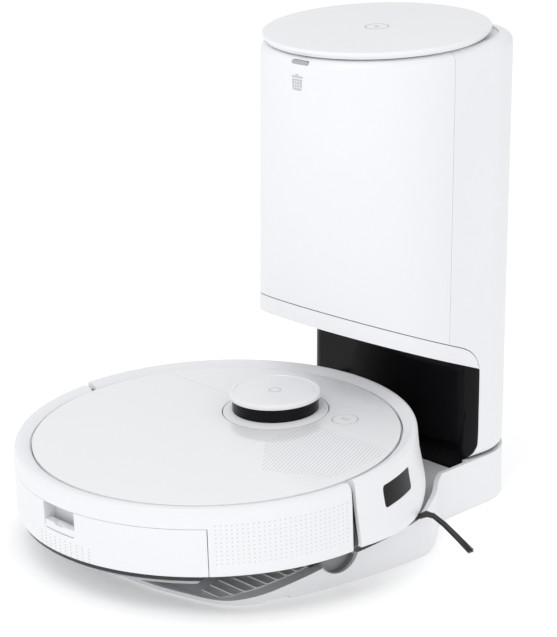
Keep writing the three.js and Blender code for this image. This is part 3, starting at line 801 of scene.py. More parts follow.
    @classmethod
    def _weave(cls, tree: bpy.types.NodeTree, place: bpy.types.NodeSocket) -> None:
        """Warp and weft.

        Args:
            tree: the group's tree.
            place: scaled coordinates.
        """
        warp = cls._bands(tree, place, 260)
        weft = cls._bands(tree, place, 260, direction="Y")
        both = cls._maths(tree, "MULTIPLY", warp, weft)
        broad = cls._noise(tree, place, 60, 4)
        mixed = cls._maths(tree, "MULTIPLY", both, broad.outputs["Fac"])
        cls._finish_group(tree, Shade=mixed, Height=both)

    @classmethod
    def _paper(cls, tree: bpy.types.NodeTree, place: bpy.types.NodeSocket) -> None:
        """Soft fibres of filter paper.

        Args:
            tree: the group's tree.
            place: scaled coordinates.
        """
        fibres = cls._noise(tree, place, 320, 6, 0.7)
        broad = cls._noise(tree, place, 22, 3)
        cls._finish_group(tree, Shade=broad.outputs["Fac"], Height=fibres.outputs["Fac"])

    @classmethod
    def _fur(cls, tree: bpy.types.NodeTree, place: bpy.types.NodeSocket) -> None:
        """Short tangled microfibre.

        Args:
            tree: the group's tree.
            place: scaled coordinates.
        """
        tufts = cls._noise(tree, place, 520, 8, 0.75)
        broad = cls._noise(tree, place, 40, 4)
        cls._finish_group(tree, Shade=broad.outputs["Fac"], Height=tufts.outputs["Fac"])

    @classmethod
    def _wear_and_highlight_group(cls) -> None:
        """A mask of lightened convex edges: partly rubbed, partly a painted edge highlight."""
        tree = cls._group("edge_wear_and_highlight", [("Amount", 0.3)], ["Mask"])
        source = tree.nodes.new("NodeGroupInput")
        surface = tree.nodes.new("ShaderNodeNewGeometry")
        ramp = tree.nodes.new("ShaderNodeMapRange")
        ramp.inputs["From Min"].default_value = 0.52
        ramp.inputs["From Max"].default_value = 0.62
        tree.links.new(surface.outputs["Pointiness"], ramp.inputs["Value"])
        patch = cls._noise(tree, source.outputs["Place"], 90, 4)
        broken = cls._maths(tree, "MULTIPLY", ramp.outputs[0], patch.outputs["Fac"])
        cls._finish_group(tree, Mask=cls._maths(tree, "MULTIPLY", broken, source.outputs["Amount"],
                                                clamp=True))

    @classmethod
    def _dust(cls) -> None:
        """A mask of fine dust on faces that look up."""
        tree = cls._group("soft_dust", [("Amount", 0.1)], ["Mask"])
        source = tree.nodes.new("NodeGroupInput")
        surface = tree.nodes.new("ShaderNodeNewGeometry")
        parts = tree.nodes.new("ShaderNodeSeparateXYZ")
        tree.links.new(surface.outputs["Normal"], parts.inputs[0])
        speckle = cls._noise(tree, source.outputs["Place"], 35, 6, 0.7)
        upward = cls._maths(tree, "MULTIPLY", parts.outputs["Z"], speckle.outputs["Fac"], clamp=True)
        cls._finish_group(tree, Mask=cls._maths(tree, "MULTIPLY", upward, source.outputs["Amount"],
                                                clamp=True))


@dataclass(frozen=True)
class Finish:
    """One material of the part.

    Attributes:
        slot: the record's material slot.
        light: the lighter of its two close shades.
        dark: the darker one.
        roughness: surface roughness.
        pattern: its fine structure.
        scale: how much finer than normal the structure is.
        relief: height of the structure in millimetres.
        metallic: 1 for metal.
        coat: strength of a clear gloss layer.
        coat_roughness: that layer's roughness.
        specular: how strongly it mirrors.
        sheen: soft edge glow of cloth.
        wear: how much convex edges lighten, partly from rubbing and partly as a painted highlight.
        dust: how much dust lies on top.
        subsurface: how much light scatters inside.
    """

    slot: str
    light: Colour
    dark: Colour
    roughness: float
    pattern: Pattern = Pattern.MOULD
    scale: float = 1.0
    relief: float = 0.02
    metallic: float = 0.0
    coat: float = 0.0
    coat_roughness: float = 0.04
    specular: float = 0.5
    sheen: float = 0.0
    wear: float = 0.0
    dust: float = 0.0
    subsurface: float = 0.0

    def material(self) -> bpy.types.Material:
        """The finish's material, made once.

        Returns:
            The material.
        """
        name = "finish_" + self.slot
        if name in bpy.data.materials:
            return bpy.data.materials[name]
        material = bpy.data.materials.new(name)
        material.use_nodes = True
        tree = material.node_tree
        shader = tree.nodes["Principled BSDF"]
        coordinates = tree.nodes.new("ShaderNodeTexCoord").outputs["Object"]
        pattern = self._use(tree, self.pattern.value, coordinates, Scale=self.scale)
        colour = tree.nodes.new("ShaderNodeMix")
        colour.data_type = "RGBA"
        colour.inputs["A"].default_value = (*self.dark, 1)
        colour.inputs["B"].default_value = (*self.light, 1)
        tree.links.new(pattern.outputs["Shade"], colour.inputs["Factor"])
        result = colour.outputs["Result"]
        # The first overlay lightens convex edges, partly as rubbing and partly as a painted highlight; the
        # second lays dust on upward faces.
        for group, amount, tint in (("edge_wear_and_highlight", self.wear,
                                     tuple(min(1.0, c * 1.5 + 0.05) for c in self.light)),
                                    ("soft_dust", self.dust, (0.55, 0.55, 0.54))):
            if not amount:
                continue
            mask = self._use(tree, group, coordinates, Amount=amount)
            over = tree.nodes.new("ShaderNodeMix")
            over.data_type = "RGBA"
            over.inputs["B"].default_value = (*tint, 1)
            tree.links.new(mask.outputs["Mask"], over.inputs["Factor"])
            tree.links.new(result, over.inputs["A"])
            result = over.outputs["Result"]
        tree.links.new(result, shader.inputs["Base Color"])
        bump = tree.nodes.new("ShaderNodeBump")
        bump.inputs["Distance"].default_value = self.relief * MM
        bump.inputs["Strength"].default_value = 0.6
        tree.links.new(pattern.outputs["Height"], bump.inputs["Height"])
        tree.links.new(bump.outputs["Normal"], shader.inputs["Normal"])
        rough = tree.nodes.new("ShaderNodeMapRange")
        rough.inputs["To Min"].default_value = max(0.0, self.roughness - 0.04)
        rough.inputs["To Max"].default_value = min(1.0, self.roughness + 0.04)
        tree.links.new(pattern.outputs["Shade"], rough.inputs["Value"])
        tree.links.new(rough.outputs[0], shader.inputs["Roughness"])
        shader.inputs["Metallic"].default_value = self.metallic
        shader.inputs["Specular IOR Level"].default_value = self.specular
        shader.inputs["Coat Weight"].default_value = self.coat
        shader.inputs["Coat Roughness"].default_value = self.coat_roughness
        shader.inputs["Sheen Weight"].default_value = self.sheen
        if self.subsurface:
            shader.inputs["Subsurface Weight"].default_value = self.subsurface
            shader.inputs["Subsurface Scale"].default_value = 2 * MM
        log.info("finish %s", self.slot)
        return material

    @staticmethod
    def _use(tree: bpy.types.NodeTree, group: str, place: bpy.types.NodeSocket,
             **values: float) -> bpy.types.Node:
        """Adds a shared group to a material.

        Args:
            tree: the material's tree.
            group: the group's name.
            place: its coordinates.
            values: its numbers.

        Returns:
            The group's node.
        """
        node = tree.nodes.new("ShaderNodeGroup")
        node.node_tree = Shading.groups[group]
        tree.links.new(place, node.inputs["Place"])
        for label, value in values.items():
            node.inputs[label].default_value = value
        return node


WHITE_BODY = Finish("white_body", (0.86, 0.865, 0.88), (0.83, 0.835, 0.85), 0.38, relief=0.012, specular=0.4)
WHITE_GLOSS = Finish("white_gloss", (0.88, 0.885, 0.895), (0.86, 0.865, 0.875), 0.3, relief=0.004, coat=0.8)
LINED_GLOSS = Finish("lined_gloss", (0.88, 0.885, 0.895), (0.8, 0.805, 0.815), 0.3, Pattern.LINES,
                     relief=0.05,
                     coat=0.7)
SPUN_GLOSS = Finish("spun_gloss", (0.86, 0.865, 0.875), (0.82, 0.825, 0.835), 0.32, Pattern.SPUN, relief=0.01,
                    coat=0.4)
INNER_GREY = Finish("inner_grey", (0.76, 0.765, 0.775), (0.72, 0.725, 0.735), 0.45)
MARK_GREY = Finish("mark_grey", (0.56, 0.57, 0.58), (0.5, 0.51, 0.52), 0.5)
# painted shade: the grey of the dots that stand in for vent holes
HOLE_SHADE_GREY = Finish("dot_grey", (0.62, 0.63, 0.64), (0.54, 0.55, 0.56), 0.6)
BLACK_GLOSS = Finish("black_gloss", (0.004, 0.004, 0.005), (0.002, 0.002, 0.003), 0.08, relief=0.002,
                     specular=0.14)
BLACK_PLASTIC = Finish("black_plastic", (0.02, 0.02, 0.022), (0.014, 0.014, 0.016), 0.42, wear=0.2)
DARK_PLASTIC = Finish("dark_plastic", (0.06, 0.062, 0.066), (0.045, 0.046, 0.05), 0.5, wear=0.25, dust=0.1)
GREY_PLASTIC = Finish("grey_plastic", (0.3, 0.305, 0.315), (0.26, 0.265, 0.275), 0.45, wear=0.2)
GREY_TREAD = Finish("grey_tread", (0.74, 0.745, 0.75), (0.69, 0.695, 0.7), 0.6, dust=0.05)
DARK_RUBBER = Finish("dark_rubber", (0.028, 0.028, 0.03), (0.02, 0.02, 0.021), 0.7, relief=0.05, dust=0.1)
TYRE = Finish("tyre", (0.05, 0.05, 0.052), (0.035, 0.035, 0.037), 0.78, relief=0.06, dust=0.15)
BRISTLE = Finish("bristle", (0.035, 0.034, 0.033), (0.02, 0.019, 0.018), 0.5, scale=2)
STEEL = Finish("steel", (0.72, 0.72, 0.71), (0.62, 0.62, 0.61), 0.28, Pattern.SPUN, metallic=1.0)
STATUS_LENS = Finish("status_lens", (0.44, 0.45, 0.465), (0.38, 0.39, 0.4), 0.3)
BOARD = Finish("board", (0.02, 0.13, 0.06), (0.012, 0.09, 0.04), 0.4, Pattern.WEAVE)
BAG_PAPER = Finish("bag_paper", (0.72, 0.71, 0.68), (0.64, 0.63, 0.6), 0.9, Pattern.PAPER, relief=0.25,
                   sheen=0.2)
FILTER_PAPER = Finish("filter_paper", (0.8, 0.8, 0.77), (0.72, 0.72, 0.69), 0.9, Pattern.PAPER, relief=0.2)
MOP_CLOTH = Finish("mop_cloth", (0.5, 0.52, 0.55), (0.4, 0.42, 0.45), 0.95, Pattern.FUR, relief=0.6,
                   sheen=0.4)
BY_SLOT = {finish.slot: finish for finish in (
    WHITE_BODY, WHITE_GLOSS, BLACK_GLOSS, BLACK_PLASTIC, DARK_PLASTIC, GREY_PLASTIC, GREY_TREAD,
    DARK_RUBBER, TYRE,
    BRISTLE, STEEL, STATUS_LENS, BOARD, BAG_PAPER, FILTER_PAPER, MOP_CLOTH)}


def dress(obj: bpy.types.Object, body: str, finish: Finish, replaces: Sequence[str] = (),
          smooth: float = 32) -> bpy.types.Object:
    """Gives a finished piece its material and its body.

    Args:
        obj: the piece.
        body: the CAD body it rides on.
        finish: its finish.
        replaces: CAD nodes it stands for.
        smooth: shading angle in degrees.

    Returns:
        The piece.
    """
    Workshop.smooth(obj, smooth)
    obj.data.materials.clear()
    obj.data.materials.append(finish.material())
    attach(obj, body)
    if replaces:
        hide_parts(*replaces)
    log.info("piece %s on %s, %d faces", obj.name, body, len(obj.data.polygons))
    return obj


# ---- dock -----------------------------------------------------------------------------
@dataclass
class DockBase:
    """The dock's foot: a ramp with a round berth for the robot and two ribbed pads.

    Attributes:
        edge: right-hand edge in plan, from the front to the tower.
        rim: rim height along Y.
        ramp: Y and Z of the ramp's foot and head.
        back: Y of the dock's back.
        half_width: half the tower foot's width.
        corner: radius of the back corners.
        top: height of the base under the tower.
    """

    edge: Sequence[Pair] = ((0, -117), (43, -113.5), (64, -109.5), (95, -101), (111, -94), (123, -83),
                            (133, -65),
                            (140, -43), (146, -15), (151, 27), (152.6, 55), (153, 78), (151.5, 104),
                            (146, 119),
                            (134, 137), (118, 156), (107, 172))
    rim: Sequence[Pair] = ((-118, 4.2), (-94, 4.5), (-83, 5.8), (-65, 8.9), (-43, 13.8), (-15, 20), (26, 29),
                           (74, 33.5), (92, 35.5), (106, 41), (118, 45.2), (140, 45.8))
    ramp: tuple[Pair, Pair] = ((-97, 2.4), (-8, 21.8))
    back: float = 292
    half_width: float = 102.5
    corner: float = 58
    top: float = 45.8

    def outline(self, inset: float = 0) -> list[Pair]:
        """The base's plan.

        Args:
            inset: how far it is moved inwards.

        Returns:
            The outline's points.
        """
        front = flowing(self.edge, 4)
        rear = arc((self.half_width - self.corner, self.back - self.corner), self.corner, 0, 90, 14)
        right = [*front, *rear]
        if inset:
            whole = mirrored(right)
            count = len(whole)
            moved = []
            for i, point in enumerate(whole):
                along = (Vector(whole[(i + 1) % count]) - Vector(whole[i - 1])).normalized()
                moved.append((point[0] - along.y * inset, point[1] + along.x * inset))
            return moved
        return mirrored(right)

    def build(self) -> None:
        """Models and dresses the base, its pads and its feet."""
        body = Workshop.prism("dock_base_shell", self.outline(), 0.8, 60)
        rise = [(-130, -5), (310, -5), (310, self.top), *reversed(flowing(self.rim, 5)), (-130, 2.5)]
        crest = Workshop.prism("crest", rise, -180, 180, Axis.X)
        Workshop.combine(body, crest, Cut.SHARE)
        (y0, z0), (y1, z1) = self.ramp
        pitch = math.tan(ROBOT_PITCH)
        floor = [(-160, 0.9), (y0, z0), (y1, z1), (0, 24.6), (212, 24.6 + 212 * pitch), (212, 90), (-160, 90)]
        trough = Workshop.prism("trough", self.outline(4), 0, 80)
        Workshop.combine(trough, Workshop.prism("floor", floor, -170, 170, Axis.X), Cut.SHARE)
        Workshop.combine(body, trough)
        dish = Workshop.turned("dish", [(0, -0.3), (150, -0.3), (166, 3.5), (174, 7), (179, 12), (182, 19),
                                        (184, 27),
                                        (184, 90), (0, 90)], steps=FINE)
        Workshop.tilted(dish)
        Workshop.combine(dish, Workshop.block("keep", (-200, 2, 0), (200, 209, 120)), Cut.SHARE)
        Workshop.combine(body, dish)
        for side in (-1, 1):
            Workshop.combine(body, Workshop.rod("pocket", 36, (side * 99.5, 4, 48.5),
                                                (side * 136.5, 4, 48.5), 72))
            Workshop.combine(body, Workshop.rod("scoop", 21, (side * 141, 4.5, 33), (side * 160, 4.5, 33),
                                                64))
            notch = Workshop.prism("lip", rounded([(-66, -2, 0), (-42, -2, 0), (-44, 3.4, 1.2),
                                                   (-64, 3.4, 1.2)]),
                                   side * 141 - 14, side * 141 + 14, Axis.X)
            Workshop.combine(body, notch)
            Workshop.combine(body, self._contact_hole(side))
        Workshop.combine(body, Workshop.block("port", (-32, 14, -1), (32, 56, 40)))
        Workshop.combine(body, Workshop.block("channel", (-74, 10, 0), (74, 278, 20.4)))
        Workshop.combine(body, Workshop.block("hollow", (-88, -72, 0), (88, -10, 7)))
        Workshop.combine(body, Workshop.block("riser", (-30, 240, 0), (30, 278, 60)))
        Workshop.bevel(body, 0.7, 2, 48)
        dress(body, "dock", WHITE_BODY, ["dock_base"])
        self._pads()
        self._scoop_shade_linings()
        self._shaded_berth_floor()
        self._feet()

    @staticmethod
    def _contact_hole(side: int) -> bpy.types.Object:
        """The hole for a charging contact.

        Args:
            side: 1 on the right, -1 on the left.

        Returns:
            The block that cuts it.
        """
        return Workshop.tilted(Workshop.block("pin", (side * 28 - 5.3, 140.6, -5),
                                              (side * 28 + 5.3, 157.4, 6)))

    def _pads(self) -> None:
        """The ribbed grey pads on the ramp; the ribs take the white body finish, a painted highlight that
        makes them read lighter than the pad.
        """
        (y0, z0), (y1, z1) = self.ramp
        slope = (z1 - z0) / (y1 - y0)
        plan = [(84, -93), (103, -93), (113, -81), (122, -62), (129, -40), (134, -16), (88, -16)]
        for side, word in SIDES:
            outline = rounded([(u, v, 2) for u, v in plan], 3)
            low, high = (z0 + slope * (y - y0) for y in (-97, -14))
            sheet = [(-97, low - 1), (-14, high - 1), (-14, high + 0.6), (-97, low + 0.6)]
            pad = Workshop.prism("ramp_pad_" + word, sheet, 80, 145, Axis.X)
            Workshop.combine(pad, Workshop.prism("plan", outline, 0, 40), Cut.SHARE)
            ribs = Workshop.prism("ramp_ribs_" + word, rounded(
                [(-91.9, 2.6, 0), (-90.1, 2.6, 0), (-90.5, 5.4, 0.5), (-91.5, 5.3, 0.5)], 3), 80, 145, Axis.X)
            Workshop.rowed(ribs, 9, (0, 8.9, 8.9 * slope))
            Workshop.combine(ribs, Workshop.prism("plan", outline, 0, 40), Cut.SHARE)
            # painted highlight: the ribs get the lighter white body finish instead of the pad's grey
            for piece, finish, nodes in ((pad, GREY_TREAD, ["ramp_tread_" + word]), (ribs, WHITE_BODY, [])):
                if side < 0:
                    Workshop.flipped(piece)
                dress(piece, "dock", finish, nodes)

    def _scoop_shade_linings(self) -> None:
        """Grey sheets lining the scoops beside the wheels: the darker inside is partly painted shade and
        partly dark grey plastic.
        """
        for side, word in SIDES:
            cup = Workshop.rod("wheel_cup_" + word, 20.9, (side * 141.1, 4.5, 33), (side * 147.5, 4.5, 33),
                               64)
            Workshop.combine(cup, Workshop.rod("room", 20.1, (side * 141.9, 4.5, 33), (side * 150, 4.5, 33),
                                               64))
            Workshop.combine(cup, Workshop.block("low", (-200, -30, 0), (200, 40, 23.6)), Cut.SHARE)
            # painted shade in part: the grey sheet darkens the inside of each scoop
            dress(cup, "dock", GREY_PLASTIC)

    def _shaded_berth_floor(self) -> None:
        """A grey sheet on the berth floor under the robot, in front of the panel: its darker grey is painted
        shade.
        """
        pitch = math.tan(ROBOT_PITCH)
        plan = mirrored([(0, 96), (120, 96), (132, 112), (128, 134), (112, 154), (101, 172), (99, 205),
                         (0, 208)])
        sheet = [(90, 24.75 + 90 * pitch), (208, 24.75 + 208 * pitch), (208, 25.3 + 208 * pitch),
                 (90, 25.3 + 90 * pitch)]
        # painted shade: this grey sheet darkens the berth floor under the robot
        deck = Workshop.prism("berth_floor_shade", rounded([(u, v, 3) for u, v in plan], 3), 0, 60)
        Workshop.combine(deck, Workshop.prism("sheet", sheet, -150, 150, Axis.X), Cut.SHARE)
        for side in (-1, 1):
            Workshop.combine(deck, self._contact_hole(side))
        dress(deck, "dock", INNER_GREY)

    def _feet(self) -> None:
        """Rubber strips under the base."""
        for word, y, half, depth in (("front", -84, 62, 6), ("middle", 0, 60, 6), ("rear", 284, 50, 4.5)):
            strip = Workshop.prism("foot_" + word, rounded(
                [(-half, y - depth, 2), (half, y - depth, 2), (half, y + depth, 2), (-half, y + depth, 2)],
                4), 0, 2.2)
            Workshop.bevel(strip, 0.4, 2)
            dress(strip, "dock", DARK_RUBBER, ["foot_strip_" + word])


@dataclass
class Tower:
    """The dock's tower, with its front cover, belly skirt, panel and lid.

    Attributes:
        centre: Y of the round front's centre.
        radius: half the tower's width.
        flare: how much further the front reaches at the bottom.
        wall: wall thickness.
        foot: height of the tower's foot.
        rim: rim height over the centre.
        tilt: rise of the rim towards the back, in degrees.
        back: Y of the tower's back.
        corner: radius of the back corners.
        cover_seam: Y of the seam between the cover and the back.
        seam_gap: half the width of that seam.
        skirt_slope: rise per unit of Y of the belly's underside.
        seam: Y and Z along the seam over the belly.
    """

    centre: float = 191
    radius: float = 102
    flare: float = 2.4
    wall: float = 2.8
    foot: float = 46.3
    rim: float = 422.4
    tilt: float = 3.3
    back: float = 292
    corner: float = 58
    cover_seam: float = 184
    seam_gap: float = 0.14
    skirt_slope: float = -0.373
    seam: Sequence[Pair] = ((80, 200.2), (88, 197.2), (184, 161.4), (203, 154.2), (213, 148.2), (219.5, 141),
                            (222.8, 133), (223.6, 126))

    def outline(self, offset: float = 0, flare: float = 0) -> list[Pair]:
        """The tower's plan.

        Args:
            offset: how far it is moved inwards.
            flare: how much further the round front reaches.

        Returns:
            The outline's points.
        """
        radius = self.radius - offset
        stretch = (radius + flare) / radius
        front = [(u, self.centre + (v - self.centre) * stretch)
                 for u, v in arc((0, self.centre), radius, -88.5, 0, 59)]
        rear = arc((radius - self.corner + offset, self.back - self.corner), self.corner - offset, 0, 90, 20)
        return mirrored([*front, *rear])

    def _side(self, name: str, outline: Sequence[Pair], half: float = 160) -> bpy.types.Object:
        """A solid drawn across the tower from a side outline.

        Args:
            name: its name.
            outline: its side outline.
            half: half its width.

        Returns:
            The solid.
        """
        return Workshop.prism(name, outline, -half, half, Axis.X)

    def _above(self, rise: float) -> bpy.types.Object:
        """Everything above the tilted rim.

        Args:
            rise: how far above the rim it starts.

        Returns:
            The solid.
        """
        slope = math.tan(math.radians(self.tilt))
        low = [line_height(y, (self.centre, self.rim + rise), slope) for y in (40, 340)]
        return self._side("above", [(40, low[0]), (340, low[1]), (340, 560), (40, 560)])

    def _body(self) -> bpy.types.Object:
        """The whole tower before it is parted: a solid with a rounded, tilted rim.

        Returns:
            The solid.
        """
        body = Workshop.prism("tower", self.outline(0, self.flare), self.foot, 470)
        for vertex in body.data.vertices:
            place = vertex.co
            if place.z > 0.46 and place.y < self.centre * MM:
                place.y = (self.centre * MM
                           + (place.y - self.centre * MM) * self.radius / (self.radius + self.flare))
        Workshop.combine(body, self._above(0))
        Workshop.bevel(body, 8.6, 6, 60)
        return body

    def build(self) -> None:
        """Models and dresses the tower's pieces."""
        whole = self._body()
        inside = Workshop.prism("inside", self.outline(self.wall), 20, 470)
        Workshop.combine(inside, self._above(-9))
        mouth = Workshop.turned("mouth", [(0, 380), (92, 380), (92, 460), (0, 460)], (0, self.centre), FINE)
        recess = Workshop.prism("recess", self.outline(12.5), 300, 500)
        Workshop.combine(recess, self._above(-1.6), Cut.SHARE)
        hollow = Workshop.copy(whole, "hollow")
        Workshop.combine(hollow, inside, keep=True)
        Workshop.combine(hollow, mouth)
        Workshop.combine(hollow, recess)
        self._cover(hollow)
        self._shell(hollow)
        bpy.data.objects.remove(hollow)
        self._skirt(whole)
        bpy.data.objects.remove(whole)
        bpy.data.objects.remove(inside)
        self._liner()
        self._panel()
        self._marks()
        self._inlet()

    def _liner(self) -> None:
        """The tongue behind the seam between the cover and the back."""
        liner = Workshop.prism("seam_tongue", self.outline(self.wall + 0.1), 200, 400)
        Workshop.combine(liner, Workshop.prism("inner", self.outline(self.wall + 1.4), 190, 410))
        Workshop.combine(liner, Workshop.block("strip", (-120, self.cover_seam - 7, 200),
                                               (120, self.cover_seam + 7, 400)),
                         Cut.SHARE)
        dress(liner, "dock", WHITE_BODY)

    def _seam(self, rise: float) -> list[Pair]:
        """The belly's seam line.

        Args:
            rise: how far it is raised.

        Returns:
            Its points of Y and Z.
        """
        return [(y, z + rise) for y, z in self.seam]

    def _cover(self, hollow: bpy.types.Object) -> None:
        """The front cover over the dust bag.

        Args:
            hollow: the whole tube.
        """
        part = Workshop.copy(hollow, "tower_cover")
        edge = self.cover_seam - self.seam_gap
        side = [*self._seam(0.35)[:2], (edge, 161.85), (edge, 500), (60, 500), (60, 207.6)]
        Workshop.combine(part, self._side("front", side), Cut.SHARE)
        Workshop.bevel(part, 0.35, 2, 50)
        Workshop.combine(part, self._status(0.25))
        dress(part, "dock", WHITE_BODY, ["tower_front_cover"], smooth=35)

    def _shell(self, hollow: bpy.types.Object) -> None:
        """The tower's back and sides.

        Args:
            hollow: the whole tube.
        """
        part = Workshop.copy(hollow, "tower_back")
        edge = self.cover_seam + self.seam_gap
        seam = [(edge, 161.75), *[(y + 0.35, z + 0.3) for y, z in flowing(self._seam(0)[2:], 4)[1:]]]
        foot = rounded([(224.2, 66, 0), (223.6, 58, 6), (219, 51.5, 6), (209, self.foot - 2, 0)], 5,
                       closed=False)
        side = [*seam, *foot, (310, self.foot - 2), (310, 500), (edge, 500)]
        Workshop.combine(part, self._side("behind", side), Cut.SHARE)
        Workshop.bevel(part, 0.35, 2, 50)
        Workshop.combine(part, Workshop.block("notch", (-32, 283, 418), (32, 300, 470)))
        Workshop.combine(part, Workshop.block("socket", (9, 280, 56), (41, 300, 80)))
        barrels = [Workshop.rod("barrel", 2.7, (low, 288, 425.2), (low + 5, 288, 425.2),
                                24) for low in (-19, 14)]
        feet = [Workshop.block("foot", (low, 285.6, 414), (low + 5, 290.4, 424.6)) for low in (-19, 14)]
        Workshop.gather(part, [*barrels, *feet])
        dress(part, "dock", WHITE_BODY, ["tower_shell"], smooth=35)

    def _skirt(self, whole: bpy.types.Object) -> None:
        """The inclined belly over the berth.

        Args:
            whole: the solid tower.
        """
        part = Workshop.copy(whole, "tower_belly")
        ceiling = (223.6, 131)
        low = line_height(80, ceiling, self.skirt_slope)
        seam = [(y - 0.15, z - 0.25) for y, z in flowing(self._seam(0)[1:7], 4)]
        side = [(80, low), ceiling, *reversed(seam), (80, 199.9)]
        Workshop.combine(part, self._side("belly", side), Cut.SHARE)
        Workshop.bevel(part, 0.9, 3, 45)
        void = Workshop.prism("void", self.outline(self.wall + 1.5), 60, 300)
        up = [(60, line_height(60, (223, 134), self.skirt_slope)),
              (219, line_height(219, (223, 134), self.skirt_slope)),
              (219, 290), (60, 290)]
        Workshop.combine(void, self._side("up", up), Cut.SHARE)
        Workshop.combine(part, void)
        dress(part, "dock", WHITE_BODY, ["tower_skirt"], smooth=35)

    def _panel(self) -> None:
        """The black panel across the back of the berth."""
        half, front, corner = self.radius - 0.15, 209, 15
        centre = (half - corner, front + corner)
        outer, inner = (arc(centre, radius, -90, 0, 16) for radius in (corner, corner - 2.4))
        pane = Workshop.prism("bay_panel", mirrored([(0, front), *outer, *reversed(inner),
                                                     (0, front + 2.4)]), 34.6,
                              146)
        over = [(180, line_height(180, (223.6, 130.6), self.skirt_slope)),
                (260, line_height(260, (223.6, 130.6), self.skirt_slope)), (260, 300), (180, 300)]
        Workshop.combine(pane, self._side("over", over))
        foot = rounded([(170, 30, 0), (212.5, 30, 0), (212.5, 46.6, 0), (219, 52, 6), (223.3, 58.5, 6),
                        (223.9, 70, 0),
                        (260, 70, 0), (260, 20, 0), (170, 20, 0)], 4)
        under = [(211.2, 30), (211.2, 45.5), *[(y, z) for y, z in foot if z > 46 and y < 230], (240, 70),
                 (240, 30)]
        Workshop.combine(pane, self._side("under", under))
        dress(pane, "dock", BLACK_GLOSS, ["recess_panel"], smooth=40)

    def _status(self, grow: float) -> bpy.types.Object:
        """The slot of the indicator bar.

        Args:
            grow: how much larger it is all round.

        Returns:
            The solid.
        """
        outline = rounded([(-0.5 - grow, 411.2 - grow, 1.2), (17.5 + grow, 411.2 - grow, 1.2),
                           (17.5 + grow, 414.2 + grow, 1.2), (-0.5 - grow, 414.2 + grow, 1.2)], 4)
        return Workshop.prism("status_slot", outline, 80, 96, Axis.Y)

    def _marks(self) -> None:
        """The indicator bar and the bin sign below it."""
        reach = self.radius + 0.02
        skin = Workshop.turned("status_bar", [(reach - 2, 405), (reach, 405), (reach, 420), (reach - 2, 420)],
                               (0, self.centre), FINE * 2)
        Workshop.combine(skin, self._status(0), Cut.SHARE)
        dress(skin, "dock", STATUS_LENS, ["status_light"])
        strokes = [rounded([(1.6, 388.4, 1.6), (11.4, 388.4, 1.6), (12.4, 398.2, 0.6), (0.6, 398.2, 0.6)], 4),
                   rounded([(0, 399.2, 0.8), (13, 399.2, 0.8), (13, 400.8, 0.8), (0, 400.8, 0.8)], 4),
                   rounded([(4.4, 401.2, 0.6), (8.6, 401.2, 0.6), (8.6, 402.4, 0.6), (4.4, 402.4, 0.6)], 3)]
        sign = [Workshop.prism(f"stroke_{i}", outline, 80, 96, Axis.Y) for i, outline in enumerate(strokes)]
        for column in range(3):
            for row in range(3):
                u, v = 3.1 + column * 2.7, 390.1 + row * 2.6
                hole = Workshop.prism("window", rounded([(u, v, 0.3), (u + 1.5, v, 0.3),
                                                         (u + 1.5, v + 1.5, 0.3),
                                                         (u, v + 1.5, 0.3)], 2), 70, 100, Axis.Y)
                Workshop.combine(sign[0], hole)
        slope = self.flare / (470 - self.foot)
        ink = Workshop.turned("bin_sign", [(reach - 1, 380), (reach + 0.12, 380), (reach + 0.12, 410),
                                           (reach - 1, 410)], (0, self.centre), FINE * 2)
        Workshop.gather(sign[0], sign[1:])
        Workshop.combine(ink, sign[0], Cut.SHARE)
        Workshop.moved(ink, (0, -slope * 70, 0))
        dress(ink, "dock", MARK_GREY)

    def _inlet(self) -> None:
        """The power socket at the back."""
        body = Workshop.prism("power_socket", rounded([(9.6, 56.6, 2), (40.4, 56.6, 2), (40.4, 79.4, 2),
                                                       (9.6, 79.4, 2)], 4), 281, 290.6, Axis.Y)
        Workshop.combine(body, Workshop.prism("slot", rounded([(14, 62, 5), (36, 62, 5), (36, 74, 5),
                                                               (14, 74, 5)], 6),
                                              284, 296, Axis.Y))
        Workshop.bevel(body, 0.5, 2, 50)
        poles = [Workshop.rod("pole", 1.2, (25 + x, 282, 68), (25 + x, 290, 68), 16) for x in (-4.5, 4.5)]
        Workshop.gather(body, poles)
        dress(body, "dock", BLACK_PLASTIC, ["power_inlet"])


